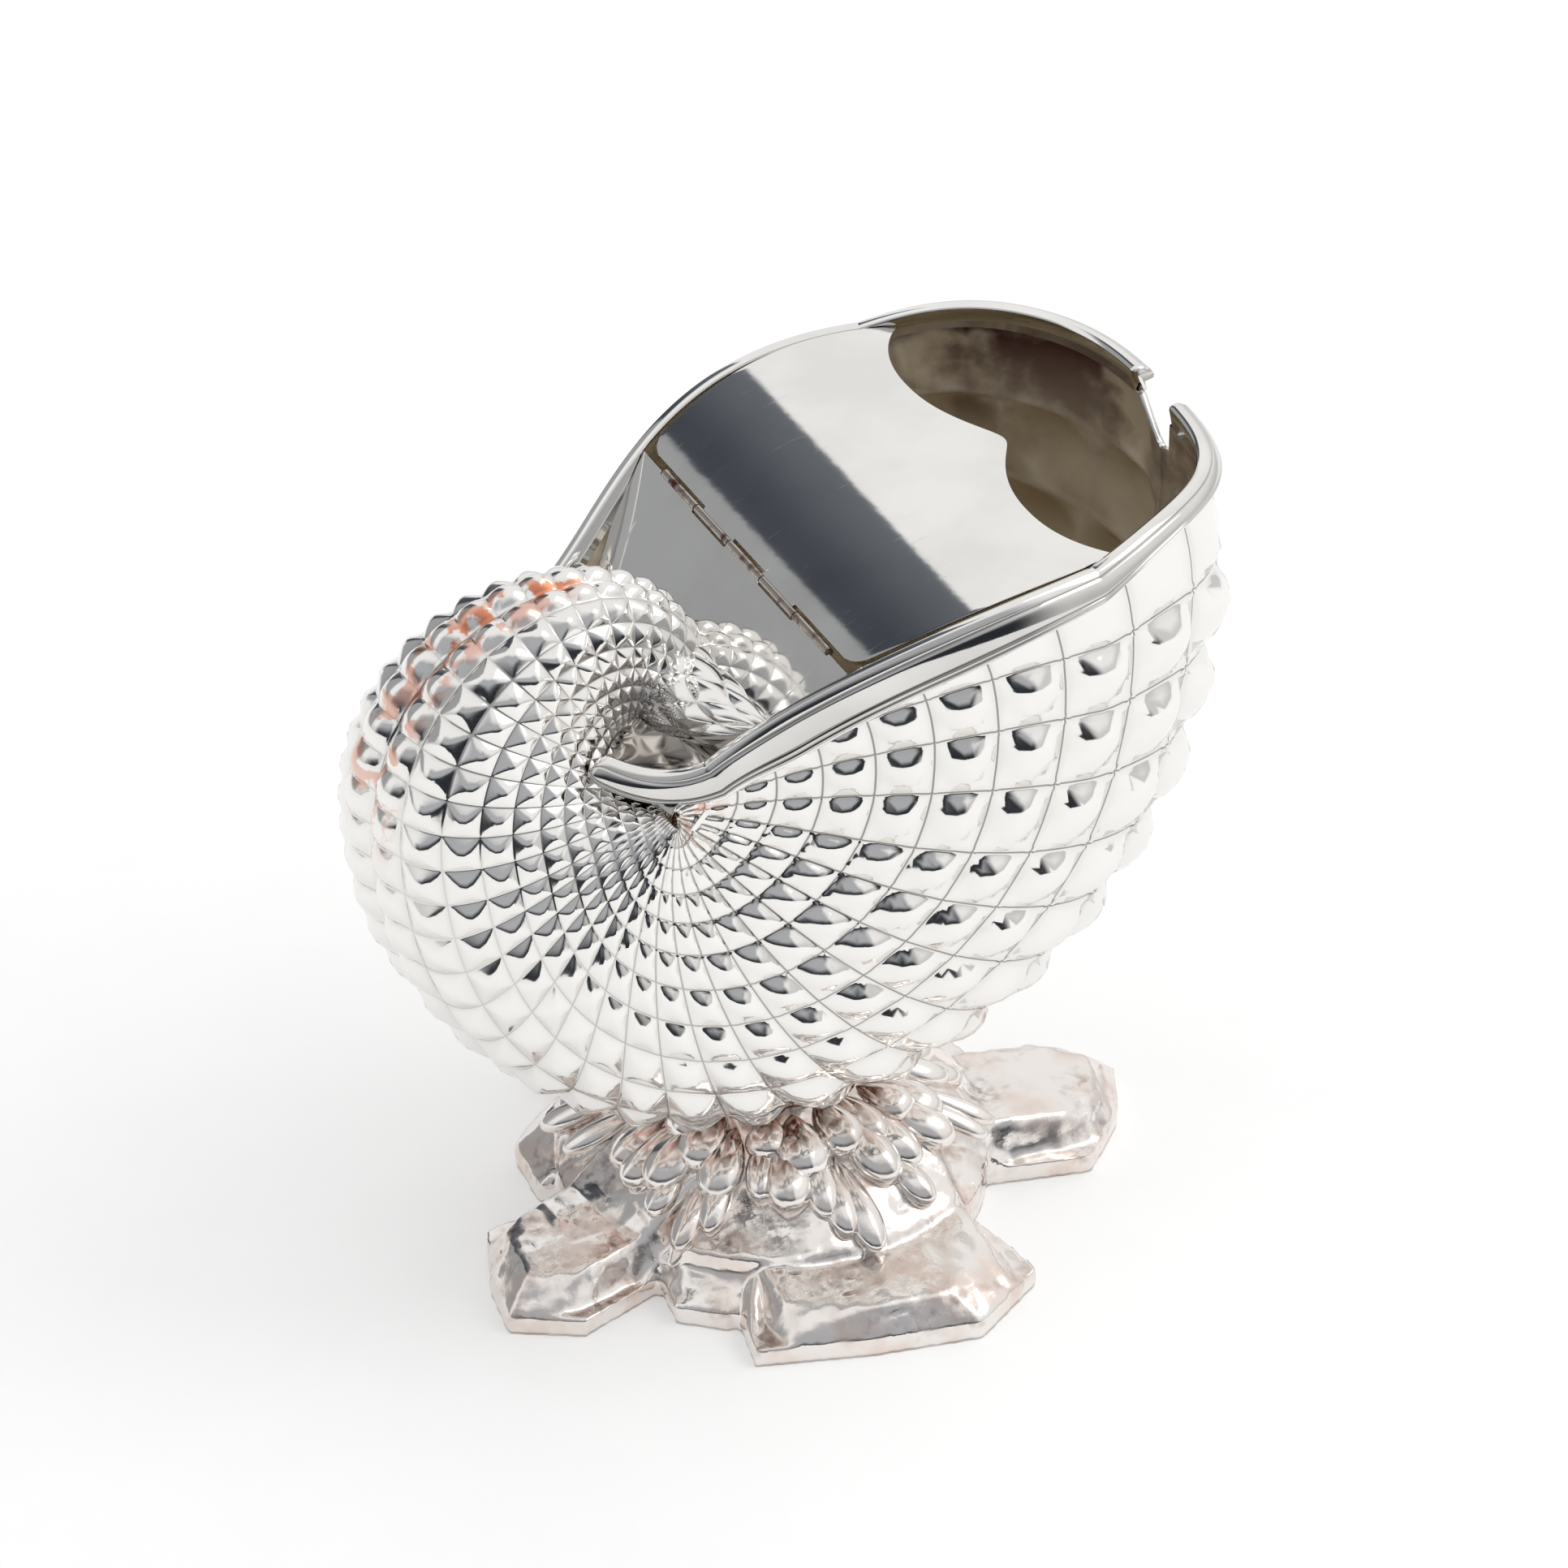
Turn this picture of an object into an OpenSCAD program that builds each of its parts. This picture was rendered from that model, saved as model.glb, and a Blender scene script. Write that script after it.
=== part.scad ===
// Nautilus-shell spoon warmer: a studded shell with a hinged lid, on a rock with seaweed.
// Millimetres. X points to the mouth, Y to the left side, Z up; the rock stands on Z = 0.

/* [Shell] */
// Height of the coil axis above the table
axis_z = 115; // [105:1:125]
// Distance of the coil axis behind the middle of the rock
axis_back = 36; // [30:1:42]
// Keel radius where the coil starts
coil_r = 24; // [22:0.5:26]
// Keel growth of the coil, mm a degree
coil_grow = 0.1375; // [0.13:0.0025:0.145]
// Extra keel radius that the body gains over the coil
body_swell = 46.5; // [43:0.5:50]
// Flare of the keel at the mouth
mouth_flare = 3.6; // [3:0.2:5]
// Half width of the coil where it starts
coil_w = 9.5; // [8:0.5:11]
// Half width of the body at the mouth
mouth_w = 53; // [49:0.5:57]
// Thickness of the struck sheet
sheet = 1.2; // [0.9:0.1:1.6]

/* [Studs] */
// Spokes of studs from the coil to the mouth
spokes = 37; // [30:1:42]
// Rows of studs from the keel to the eye
rows = 12; // [10:1:13]
// Height of a stud on the coil, as a share of its cell
stud_coil = 0.26; // [0.15:0.01:0.32]
// Height of a stud at the mouth, as a share of its cell
stud_mouth = 0.1; // [0.05:0.01:0.16]

/* [Rim] */
// Radius of one reed of the rim wire
reed_r = 0.6; // [0.5:0.05:0.7]
// Height of the rim's band above the edge of the shell
band_up = 4.5; // [4:0.1:5]
// Depth of the rim below the edge of the shell, at its widest
band_down = 5.6; // [4.5:0.1:6.5]
// Width of the notch in front
notch_w = 9; // [7:0.5:12]
// Depth of the notch below the edge of the shell
notch_d = 9; // [6:0.5:12]

/* [Lid] */
// Hinge line ahead of the coil axis
hinge_x = 31; // [29:0.5:33]
// Hinge line above the coil axis
hinge_up = 28; // [27:0.2:29]
// Front edge of the lid ahead of the coil axis
lid_front = 84; // [78:0.5:88]
// Rise of the lid from the hinge to its front edge
lid_rise = 10.2; // [9:0.2:12]
// Bulge of the lid above the chord between them
lid_bulge = 4.2; // [3:0.1:5]
// Depth of the two scallops in the front edge
scallop = 8; // [4:0.5:10]
// Radius of the lid's corners at the hinge
lid_corner = 3; // [2:0.5:5]
// Thickness of the lid and the saddle plate
plate_t = 1.2; // [0.9:0.1:1.5]
// Gap between the lid and the rim wire
lid_gap = 0.8; // [0.6:0.1:1.1]
// Slope of the saddle plate, degrees
saddle_slope = 49; // [44:1:54]

/* [Hinge] */
// Outer radius of a knuckle
knuckle_r = 0.9; // [0.8:0.05:1.1]
// Radius of the hinge pin
pin_r = 0.45; // [0.4:0.05:0.55]
// Running clearance of the lid knuckles on the pin
pin_fit = 0.04; // [0.02:0.01:0.08]
// Gap between neighbouring knuckles
knuckle_gap = 0.3; // [0.2:0.05:0.4]
// Length of the hinge
hinge_len = 66; // [56:1:70]

/* [Inner whorl] */
// Half length of the whorl across the saddle
whorl_y = 34; // [30:0.5:36]
// Half thickness of the whorl in the middle
whorl_thick = 9.8; // [8.8:0.1:10.6]
// Middle of the whorl ahead of the coil axis
whorl_ahead = 13.5; // [12:0.5:15]
// Bow of the whorl's ends towards the hinge
whorl_bow = 6.5; // [5:0.5:8]
// Sink of the whorl below the top of the saddle
whorl_sink = 1.5; // [1:0.1:2]

/* [Rock] */
// Height of the rock at its neck
neck_z = 27; // [24:0.5:29]
// Radius of the rock at its neck
neck_r = 14; // [12:0.5:16]
// Radius of the mound at its foot
mound_r = 41; // [39:0.5:44]
// Height of the mound above its foot wall
mound_z = 12; // [11.5:0.5:14]
// Height of the upright foot of a lobe
foot_z = 4; // [3:0.5:5]
// Wall of the casting
rock_wall = 4; // [3:0.5:5]
// Radius of the hollow under the rock
hollow_r = 30; // [24:1:33]
// Height of the hollow under the rock
hollow_h = 16; // [12:0.5:18]

/* [Collar and fixing] */
// Outer radius of the neck collar
collar_r = 12.5; // [11:0.5:14]
// Height of the collar's edge above the keel that it holds
collar_sink = 0.4; // [0.2:0.1:1]
// Radius of the fixing stud
stud_r = 2.5; // [2:0.1:3]
// Clearance of the stud in its holes
stud_fit = 0.2; // [0.1:0.05:0.4]
// Thickness of the washer
washer_t = 1.5; // [1:0.1:2]
// Thickness of the nut
nut_t = 4; // [3:0.2:5]

/* [Seaweed] */
// Radius of a leaf bladder
leaf_r = 4.4; // [3.8:0.1:4.8]
// Radius of a small end bladder
bead_r = 2.8; // [2.2:0.1:3.2]
// Solder seam under the seaweed
seam = 0.1; // [0.1:0.05:0.2]

/* [Hidden] */
$fn = 48;
a_first = 30;
a_last = 377;
square_off = 0.63;
row_ratio = 0.88;
row_reach = 0.993;
eps = 0.01;
wide = 3 * mouth_w;

// Keel spiral and side width by angle round the coil axis
function ease(x) = let (t = min(max(x, 0), 1)) t * t * (3 - 2 * t);
function keel_r(a) = coil_r + coil_grow * (a - a_first) + body_swell * ease((a - 190) / 183)
    + mouth_flare * ease((a - 352) / 25);
function side_w(a) = coil_w + (mouth_w - coil_w) * ease((a - 35) / 355);
function eye_dip(a) = 0.4 * ease((a - 200) / 150);

// Half section from keel to eye, laid out by its length
function sec_t(f) = pow(max(cos(f), 0), square_off);
function sec_y(f) = pow(max(sin(f), 0), square_off);
sec_n = 90;
sec_p = [for (i = [0 : sec_n]) [2.2 * sec_t(90 * i / sec_n), sec_y(90 * i / sec_n)]];
function run(i) = i == 0 ? [0]
    : let (p = run(i - 1)) concat(p, [p[i - 1] + norm(sec_p[i] - sec_p[i - 1])]);
sec_run = run(sec_n);
sec_tab = [for (i = [0 : sec_n]) [sec_run[i] / sec_run[sec_n], 90 * i / sec_n]];

// Spokes lean back and forth between keel and eye, and forward at the mouth
function spoke_a(k) = let (u = k / spokes) a_first + (a_last - a_first) * (1.11 * u - 0.11 * u * u);
function mouth_lead(t) = 21 * ease((1 - t) / 0.8) + 2.2 * sin(180 * min((1 - t) / 0.3, 1))
    + 85 * pow(max(1 - t / 0.07, 0), 2);
function spoke_lead(k, t) = let (u = k / spokes)
    u < 0.46 ? 0 : u < 0.89 ? -24 * sin(180 * (u - 0.46) / 0.43) * (1 - t)
    : sin(90 * (u - 0.89) / 0.11) * mouth_lead(t);
function row_at(j) = row_reach * (1 - pow(row_ratio, j)) / (1 - pow(row_ratio, rows));

// Point of the left half for spoke k and share s of the way from keel to eye
function shell_pt(k, s) = let (
    f = lookup(min(max(s, 0), 1), sec_tab),
    t = sec_t(f),
    ak = spoke_a(k),
    a = ak + spoke_lead(k, t),
    r = keel_r(ak) * t,
    y = side_w(a) * sec_y(f) * (1 - eye_dip(a) * exp(-pow(t / 0.38, 2))))
    [r * cos(a) - axis_back, y, r * sin(a) + axis_z];
function unit(v) = v / max(norm(v), 1e-6);
function shell_out(k, s) = unit(cross(
    shell_pt(k, min(s + 0.012, 1)) - shell_pt(k, max(s - 0.012, 0)),
    shell_pt(k + 0.2, s) - shell_pt(k - 0.2, s)));
function side(p, m) = [p[0], m * p[1], p[2]];
function on_keel(p, j) = j == 0 ? [p[0], 0, p[2]] : p;
function stud_share(k) = (stud_coil + (stud_mouth - stud_coil) * ease((k / spokes - 0.45) / 0.45))
    * (k < spokes - 1 ? 1 : 0.3);
function stud_tip(k, j) = let (
    c = shell_pt(k + 0.5, row_at(j + 0.5)),
    a = norm(shell_pt(k + 1, row_at(j + 0.5)) - shell_pt(k, row_at(j + 0.5))),
    b = norm(shell_pt(k + 0.5, row_at(j + 1)) - shell_pt(k + 0.5, row_at(j))))
    c + shell_out(k + 0.5, row_at(j + 0.5)) * stud_share(k) * min(a, b);
function flip(f, m) = m > 0 ? f : [for (i = [len(f) - 1 : -1 : 0]) f[i]];

// One struck half: four faces to each stud outside, smooth inside
module shell_half(m) {
    nr = rows + 1;
    nc = (spokes + 1) * nr;
    nt = spokes * rows;
    outer = [for (k = [0 : spokes]) for (j = [0 : rows]) on_keel(shell_pt(k, row_at(j)), j)];
    tips = [for (k = [0 : spokes - 1]) for (j = [0 : rows - 1]) stud_tip(k, j)];
    inner = [for (k = [0 : spokes]) for (j = [0 : rows])
        on_keel(shell_pt(k, row_at(j)) - sheet * shell_out(k, row_at(j)), j)];
    pts = [for (p = concat(outer, tips, inner)) side(p, m)];
    function at(k, j) = k * nr + j;
    function tip(k, j) = nc + k * rows + j;
    function ins(k, j) = nc + nt + k * nr + j;
    studs = [for (k = [0 : spokes - 1]) for (j = [0 : rows - 1]) for (e = [0 : 3])
        let (c = [at(k, j), at(k + 1, j), at(k + 1, j + 1), at(k, j + 1)])
        [c[e], c[(e + 1) % 4], tip(k, j)]];
    lining = [for (k = [0 : spokes - 1]) for (j = [0 : rows - 1]) for (e = [0 : 1])
        e == 0 ? [ins(k, j), ins(k + 1, j + 1), ins(k + 1, j)]
            : [ins(k, j), ins(k, j + 1), ins(k + 1, j + 1)]];
    keel = [for (k = [0 : spokes - 1]) for (e = [0 : 1])
        e == 0 ? [at(k, 0), ins(k, 0), ins(k + 1, 0)] : [at(k, 0), ins(k + 1, 0), at(k + 1, 0)]];
    eye = [for (k = [0 : spokes - 1]) for (e = [0 : 1])
        e == 0 ? [at(k, rows), ins(k + 1, rows), ins(k, rows)]
            : [at(k, rows), at(k + 1, rows), ins(k + 1, rows)]];
    coil = [for (j = [0 : rows - 1]) for (e = [0 : 1])
        e == 0 ? [at(0, j), ins(0, j + 1), ins(0, j)] : [at(0, j), at(0, j + 1), ins(0, j + 1)]];
    mouth = [for (j = [0 : rows - 1]) for (e = [0 : 1])
        e == 0 ? [at(spokes, j), ins(spokes, j), ins(spokes, j + 1)]
            : [at(spokes, j), ins(spokes, j + 1), at(spokes, j + 1)]];
    faces = concat(studs, lining, keel, eye, coil, mouth);
    difference() {
        polyhedron(points = pts, faces = [for (f = faces) flip(f, m)]);
        front_notch();
    }
}

// Slot in the front of the mouth
lip = shell_pt(spokes, 0);
notch_run = 2.7 * notch_w;
module front_notch() {
    translate([lip[0], 0, lip[2] - notch_d + notch_w / 2])
        rotate([0, 90, 0])
            cylinder(d = notch_w, h = notch_run, center = true);
    translate([lip[0] - notch_run / 2, -notch_w / 2, lip[2] - notch_d + notch_w / 2])
        cube([notch_run, notch_w, 2 * notch_d]);
}

module shell_right_half() {
    color("silver")
        shell_half(-1);
}

module shell_left_half() {
    color("silver")
        shell_half(1);
}

// Rim wire: two reeds under a plain band, hooked over the edge and ending in a curl at the eye
rim_from = 0.045;
rim_to = 0.93;
rim_n = 30;
curl_n = 6;
curl_out = [0, 0.9, -0.35];
rim_end = shell_pt(spokes, rim_to);
function curl_pt(u) = rim_end + [-19 * u, -8.6 * u - 4 * u * u, -9.4 * u + 10.6 * u * u];
function rim_s(i) = rim_from + (rim_to - rim_from) * min(i, rim_n) / rim_n;
function curl_u(i) = max(i - rim_n, 0) / curl_n;
function rim_pt(i) = i <= rim_n ? shell_pt(spokes, rim_s(i)) : curl_pt(curl_u(i));
function rim_ref(i) = unit(shell_out(spokes - 0.2, rim_s(i)) * (1 - curl_u(i)) + curl_out * curl_u(i));
rim_all = rim_n + curl_n;
hook = 0.15;
function rim_down(i) = 1.6 * reed_r + band_down * ease((rim_s(i) - 0.25) / 0.4)
    * (1 - 0.4 * ease((rim_s(i) - 0.82) / 0.11)) * (1 - 0.6 * curl_u(i));
function rim_up(i) = band_up * (1.1 - 0.1 * ease((rim_s(i) - 0.15) / 0.25)) * (1 - 0.45 * curl_u(i));
function bead(w, y) = [for (a = [-60, 0, 60]) [reed_r * (cos(a) + 0.4), y + w * (1 + sin(a) * 1.1)]];
function rim_shape(i) = let (low = -rim_down(i), top = rim_up(i), foot = low + 4 * reed_r)
    concat(bead(reed_r, low), bead(reed_r, low + 2 * reed_r), bead((top - foot) / 2, foot),
    [[-0.3 * sheet, top + 0.2 * reed_r], [-sheet, top - 0.6 * reed_r],
    [-sheet, -hook], [-hook, -hook], [-hook, low]]);

// Point of the rim wire at height h from the edge: below the edge it lies on the shell
function rim_at(i, h, b) = h > 0 || i > rim_n ? rim_pt(i) - b * h
    : shell_pt(spokes + h / norm(rim_pt(i) - shell_pt(spokes - 1, rim_s(i))), rim_s(i));
module rim_wire(m) {
    ns = len(rim_shape(0));
    pts = [for (i = [0 : rim_all])
        let (
            t = unit(rim_pt(min(i + 1, rim_all)) - rim_pt(max(i - 1, 0))),
            n0 = rim_ref(i),
            n = unit(n0 - t * (t * n0)),
            b = cross(t, n))
        for (q = rim_shape(i)) side(rim_at(i, q[1], b) + n * q[0], m)];
    skin = [for (i = [0 : rim_all - 1]) for (j = [0 : ns - 1]) for (e = [0 : 1])
        let (p = i * ns + j, q = i * ns + (j + 1) % ns)
        e == 0 ? [p, q, q + ns] : [p, q + ns, p + ns]];
    ends = [[for (j = [ns - 1 : -1 : 0]) j], [for (j = [0 : ns - 1]) rim_all * ns + j]];
    polyhedron(points = pts, faces = [for (f = concat(skin, ends)) flip(f, m)]);
}

module rim_wire_right() {
    color("gainsboro")
        rim_wire(-1);
}

module rim_wire_left() {
    color("gainsboro")
        rim_wire(1);
}

// Half width of the mouth at x, measured to the inside of the rim wire
mouth_tab = [for (i = [rim_n : -1 : 0])
    let (p = shell_pt(spokes, rim_s(i))) [p[0] + axis_back, p[1]]];
function mouth_half(x) = lookup(x, mouth_tab) - sheet - lid_gap;

// Lid arc through the hinge line and the front edge
lid_run = lid_front - hinge_x;
lid_chord = sqrt(lid_run * lid_run + lid_rise * lid_rise);
lid_rad = (lid_chord * lid_chord / 4 + lid_bulge * lid_bulge) / (2 * lid_bulge);
lid_mid = [hinge_x + lid_run / 2, hinge_up + lid_rise / 2];
lid_cen = lid_mid + (lid_rad - lid_bulge) / lid_chord * [lid_rise, -lid_run];
tip_round = 0.06;
function tip_run(v) = sqrt(v * v + tip_round * tip_round) - tip_round;
function lid_edge(y, hw) = lid_front
    - scallop * (1 - pow(abs(2 * tip_run(y / hw) / tip_run(1) - 1), 2.2));

// Hinge axis, one knuckle under the top of the plates
pin_at = [hinge_x - axis_back, hinge_up + axis_z - knuckle_r];
slots = 5;
slot_w = hinge_len / slots;
module along_pin(y0, y1, r) {
    translate([pin_at[0], y0, pin_at[1]])
        rotate([-90, 0, 0])
            cylinder(r = r, h = y1 - y0);
}
module barrels(first, gap, r) {
    for (i = [first : 2 : slots - 1])
        along_pin(-hinge_len / 2 + i * slot_w + gap, -hinge_len / 2 + (i + 1) * slot_w - gap, r);
}

module lid_outline() {
    n = 16;
    hw = mouth_half(lid_front);
    round = [for (i = [0 : 5]) let (a = 90 - 18 * i, x = hinge_x + lid_corner * (1 - sin(a)))
        [x - axis_back, mouth_half(x) - lid_corner * (1 - cos(a))]];
    flank = [for (i = [2 : n]) let (x = hinge_x + lid_run * i / n) [x - axis_back, mouth_half(x)]];
    front = [for (i = [1 : 2 * n - 1]) let (y = hw * (1 - i / n)) [lid_edge(y, hw) - axis_back, y]];
    near = concat(round, flank);
    far = [for (i = [len(near) - 1 : -1 : 0]) [near[i][0], -near[i][1]]];
    linear_extrude(height = wide)
        polygon(concat(near, front, far));
}

module lid() {
    color("lightgray")
        difference() {
            intersection() {
                translate([0, 0, axis_z])
                    lid_outline();
                translate([lid_cen[0] - axis_back, 0, lid_cen[1] + axis_z])
                    rotate([90, 0, 0])
                        difference() {
                            cylinder(r = lid_rad, h = wide, center = true, $fn = 180);
                            cylinder(r = lid_rad - plate_t, h = wide + 1, center = true, $fn = 180);
                        }
            }
            along_pin(-wide / 2, wide / 2, knuckle_r - eps);
            barrels(0, -knuckle_gap / 2, knuckle_r + knuckle_gap);
            along_pin(-wide / 2, -hinge_len / 2 + slot_w, knuckle_r + knuckle_gap);
            along_pin(hinge_len / 2 - slot_w, wide / 2, knuckle_r + knuckle_gap);
        }
}

// Saddle plate: a flat sloping from the hinge down to the coil, cut round it
saddle_low = 3;
saddle_top = hinge_x - knuckle_r / 2;
foot_run = 18;
foot_half = coil_w + 2.5;
function saddle_half(x) = max(mouth_half(x) + 0.2, 6);
module saddle_outline() {
    n = 10;
    flank = [for (i = [0 : n])
        let (x = saddle_top + (saddle_low - saddle_top) * i / n) [x - axis_back, saddle_half(x)]];
    foot = [for (a = [90 : -15 : -90])
        [saddle_low + foot_run * cos(a) - axis_back, foot_half * sin(a)]];
    back = [for (i = [n : -1 : 0]) [flank[i][0], -flank[i][1]]];
    linear_extrude(height = wide, center = true)
        polygon(concat(flank, foot, back));
}

// Puts a block on the slope of the plate, with its foot at height z from the top face
module on_saddle(z) {
    translate([hinge_x - axis_back, 0, hinge_up + axis_z])
        rotate([0, -saddle_slope, 0])
            translate([-wide / 2, -wide / 2, z])
                children();
}

module saddle_plate() {
    color("lightgray")
        difference() {
            intersection() {
                translate([0, 0, axis_z])
                    saddle_outline();
                on_saddle(-plate_t)
                    cube([wide, wide, plate_t]);
            }
            along_pin(-wide / 2, wide / 2, knuckle_r - eps);
            barrels(1, -knuckle_gap / 2, knuckle_r + knuckle_gap);
        }
}

module saddle_knuckles() {
    color("gainsboro")
        difference() {
            barrels(0, knuckle_gap / 2, knuckle_r);
            along_pin(-wide / 2, wide / 2, pin_r);
        }
}

module lid_knuckles() {
    color("gainsboro")
        difference() {
            barrels(1, knuckle_gap / 2, knuckle_r);
            along_pin(-wide / 2, wide / 2, pin_r + pin_fit);
        }
}

module hinge_pin() {
    color("darkgray")
        along_pin(-hinge_len / 2, hinge_len / 2, pin_r);
}

// Inner whorl: a chased lobe in the hollow between coil and saddle
whorl_n = 20;
function whorl_r(v) = pow(max(1 - v * v, 0), 0.9);
scale_rows = 8;
scale_high = 0.05;
function scale_bump(a, v) = let (w = abs(v) * scale_rows, row = floor(w))
    scale_high * abs(sin(a * 4 + (row % 2) * 90)) * (1 - pow(w - row, 2));
function whorl_x(v) = whorl_ahead + whorl_bow * v * v;
function whorl_pt(a, v) = let (r = whorl_r(v) * (1 + scale_bump(a, v)))
    [whorl_x(v) - axis_back + whorl_thick * r * cos(a), whorl_y * v,
    axis_z + hinge_up - whorl_sink - (hinge_x - whorl_x(v)) * tan(saddle_slope) + whorl_thick * r * sin(a)];
module inner_whorl() {
    na = 20;
    ring = [for (i = [1 : whorl_n - 1]) for (j = [0 : na - 1])
        whorl_pt(360 * j / na, -cos(180 * i / whorl_n))];
    tail = [whorl_pt(0, -1), whorl_pt(0, 1)];
    nr = (whorl_n - 1) * na;
    skin = [for (i = [0 : whorl_n - 3]) for (j = [0 : na - 1]) for (e = [0 : 1])
        let (p = i * na + j, q = i * na + (j + 1) % na)
        e == 0 ? [p, q, q + na] : [p, q + na, p + na]];
    caps = [for (j = [0 : na - 1]) for (e = [0 : 1])
        e == 0 ? [nr, (j + 1) % na, j] : [nr + 1, nr - na + j, nr - na + (j + 1) % na]];
    color("gainsboro")
        difference() {
            polyhedron(points = concat(ring, tail), faces = concat(skin, caps));
            on_saddle(-wide)
                cube([wide, wide, wide]);
        }
}

// Collar between shell and rock
keel_tab = [for (k = [0 : spokes]) let (a = spoke_a(k)) if (a > 200 && a < 360)
    [keel_r(a) * cos(a) - axis_back, keel_r(a) * sin(a) + axis_z]];
collar_top = lookup(0, keel_tab) + collar_sink;
module neck_collar() {
    h = collar_top - neck_z;
    color("peru")
        translate([0, 0, neck_z])
            rotate_extrude()
                polygon([[stud_r + stud_fit, 0], [collar_r, 0], [collar_r, 1.2], [collar_r - 1.4, 2],
                    [collar_r - 1.8, h / 2], [collar_r - 1, h - 1.6], [collar_r - 0.6, h],
                    [collar_r - 3.4, h], [stud_r + stud_fit, h - 5]]);
}

// Rock: a round mound under the neck, with broad broken lobes at its foot
function mound_at(r) = neck_z - (neck_z - mound_z) * pow(max(r - neck_r, 0) / (mound_r - neck_r), 1.15);
module mound(grow) {
    n = 5;
    slope = [for (i = [n : -1 : 0])
        let (r = neck_r + (mound_r - neck_r) * i / n) [r + grow, mound_at(r) + grow]];
    rotate_extrude()
        polygon(concat([[0, 0], [mound_r + grow, 0]], slope, [[0, neck_z + grow]]));
}

// Angle, reach, half width and height of each lobe
lobes = [[192, 67, 15, 10], [230, 47, 11, 8], [271, 61, 26, 9], [352, 71, 16, 10],
    [42, 56, 20, 9], [94, 61, 21, 10], [140, 48, 16, 9]];
lobe_root = 24;
lobe_knee = 36;
module rock_lobe(a, r, w, h) {
    k = sin(a * 5);
    rotate([0, 0, a])
        hull() {
            linear_extrude(height = foot_z)
                polygon([[lobe_root, -w * 0.9], [r * 0.82, -w * 1.15],
                    [r * (0.98 + 0.04 * k), -w * (0.5 + 0.15 * k)], [r * 1.02, w * (0.35 - 0.1 * k)],
                    [r * 0.86, w * 1.1], [lobe_root, w * 0.9]]);
            linear_extrude(height = h)
                polygon([[r * 0.74, -w * 0.82], [r * 0.88, -w * (0.4 + 0.1 * k)],
                    [r * (0.9 - 0.03 * k), w * 0.3], [r * 0.76, w * 0.78]]);
            linear_extrude(height = h + 2)
                polygon([[lobe_root, -w * 0.7], [lobe_knee, -w * 0.75],
                    [lobe_knee, w * 0.75], [lobe_root, w * 0.7]]);
        }
}

module lobe_pocket(a, r, w, h) {
    rotate([0, 0, a])
        translate([0, 0, -eps])
            linear_extrude(height = h - rock_wall + eps)
                polygon([[lobe_root - rock_wall, -w * 0.5], [r * 0.8 - rock_wall, -w * 0.6],
                    [r * 0.84 - rock_wall, w * 0.45], [lobe_root - rock_wall, w * 0.5]]);
}

module rock_base() {
    color("silver")
        difference() {
            union() {
                mound(0);
                for (b = lobes)
                    rock_lobe(b[0], b[1], b[2], b[3]);
            }
            for (b = lobes)
                lobe_pocket(b[0], b[1], b[2], b[3]);
            translate([0, 0, -eps])
                cylinder(r1 = hollow_r, r2 = hollow_r * 0.4, h = hollow_h + eps);
            translate([0, 0, -1])
                cylinder(r = stud_r + stud_fit, h = neck_z + 2);
        }
}

// Seaweed: bladders on short stalks, fanned over the mound from the neck and seated on it
module bladder(a, r0, r1, w0, w1) {
    hull() {
        for (e = [[r0, w0], [r1, w1]])
            rotate([0, 0, a])
                translate([e[0], 0, mound_at(e[0]) + e[1] * 0.45])
                    sphere(r = e[1], $fn = 8);
    }
}

module spray(a, fan, reach) {
    color("gainsboro")
        difference() {
            union() {
                for (i = [-1 : 1])
                    bladder(a + i * fan, neck_r + 2, neck_r + 8, leaf_r * 0.65, leaf_r);
                for (i = [-1.5 : 1 : 1.5])
                    bladder(a + i * fan * 0.72, neck_r + 6, neck_r + 17, leaf_r * 0.5, leaf_r * 0.82);
                for (i = [-1 : 1])
                    bladder(a + i * fan * 0.5, neck_r + 12, neck_r + reach - 4 * abs(i),
                        bead_r * 0.5, bead_r);
            }
            mound(seam);
            for (b = lobes)
                rock_lobe(b[0], b[1], b[2], b[3] + seam);
            translate([0, 0, neck_z])
                cylinder(r = collar_r + seam, h = 20);
        }
}

module seaweed_front() {
    spray(276, 19, 27);
}

module seaweed_front_left() {
    spray(216, 19, 26);
}

module seaweed_right() {
    spray(336, 19, 26);
}

module seaweed_back_right() {
    spray(36, 19, 25);
}

module seaweed_back() {
    spray(96, 19, 25);
}

module seaweed_back_left() {
    spray(156, 19, 25);
}

// Fixing: stud, washer and nut in the hollow
module fixing_stud() {
    color("darkgoldenrod")
        translate([0, 0, hollow_h - washer_t - nut_t - 2])
            cylinder(r = stud_r, h = collar_top - 3 - (hollow_h - washer_t - nut_t - 2));
}

module fixing_washer() {
    color("darkgoldenrod")
        translate([0, 0, hollow_h - washer_t])
            difference() {
                cylinder(r = stud_r * 2.6, h = washer_t);
                translate([0, 0, -1])
                    cylinder(r = stud_r + stud_fit, h = washer_t + 2);
            }
}

module fixing_nut() {
    color("darkgoldenrod")
        translate([0, 0, hollow_h - washer_t - nut_t])
            difference() {
                cylinder(r = stud_r * 1.85, h = nut_t, $fn = 6);
                translate([0, 0, -1])
                    cylinder(r = stud_r, h = nut_t + 2);
            }
}

shell_right_half();
shell_left_half();
rim_wire_right();
rim_wire_left();
saddle_plate();
lid();
saddle_knuckles();
lid_knuckles();
hinge_pin();
inner_whorl();
neck_collar();
rock_base();
seaweed_front();
seaweed_front_left();
seaweed_right();
seaweed_back_right();
seaweed_back();
seaweed_back_left();
fixing_stud();
fixing_washer();
fixing_nut();
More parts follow.
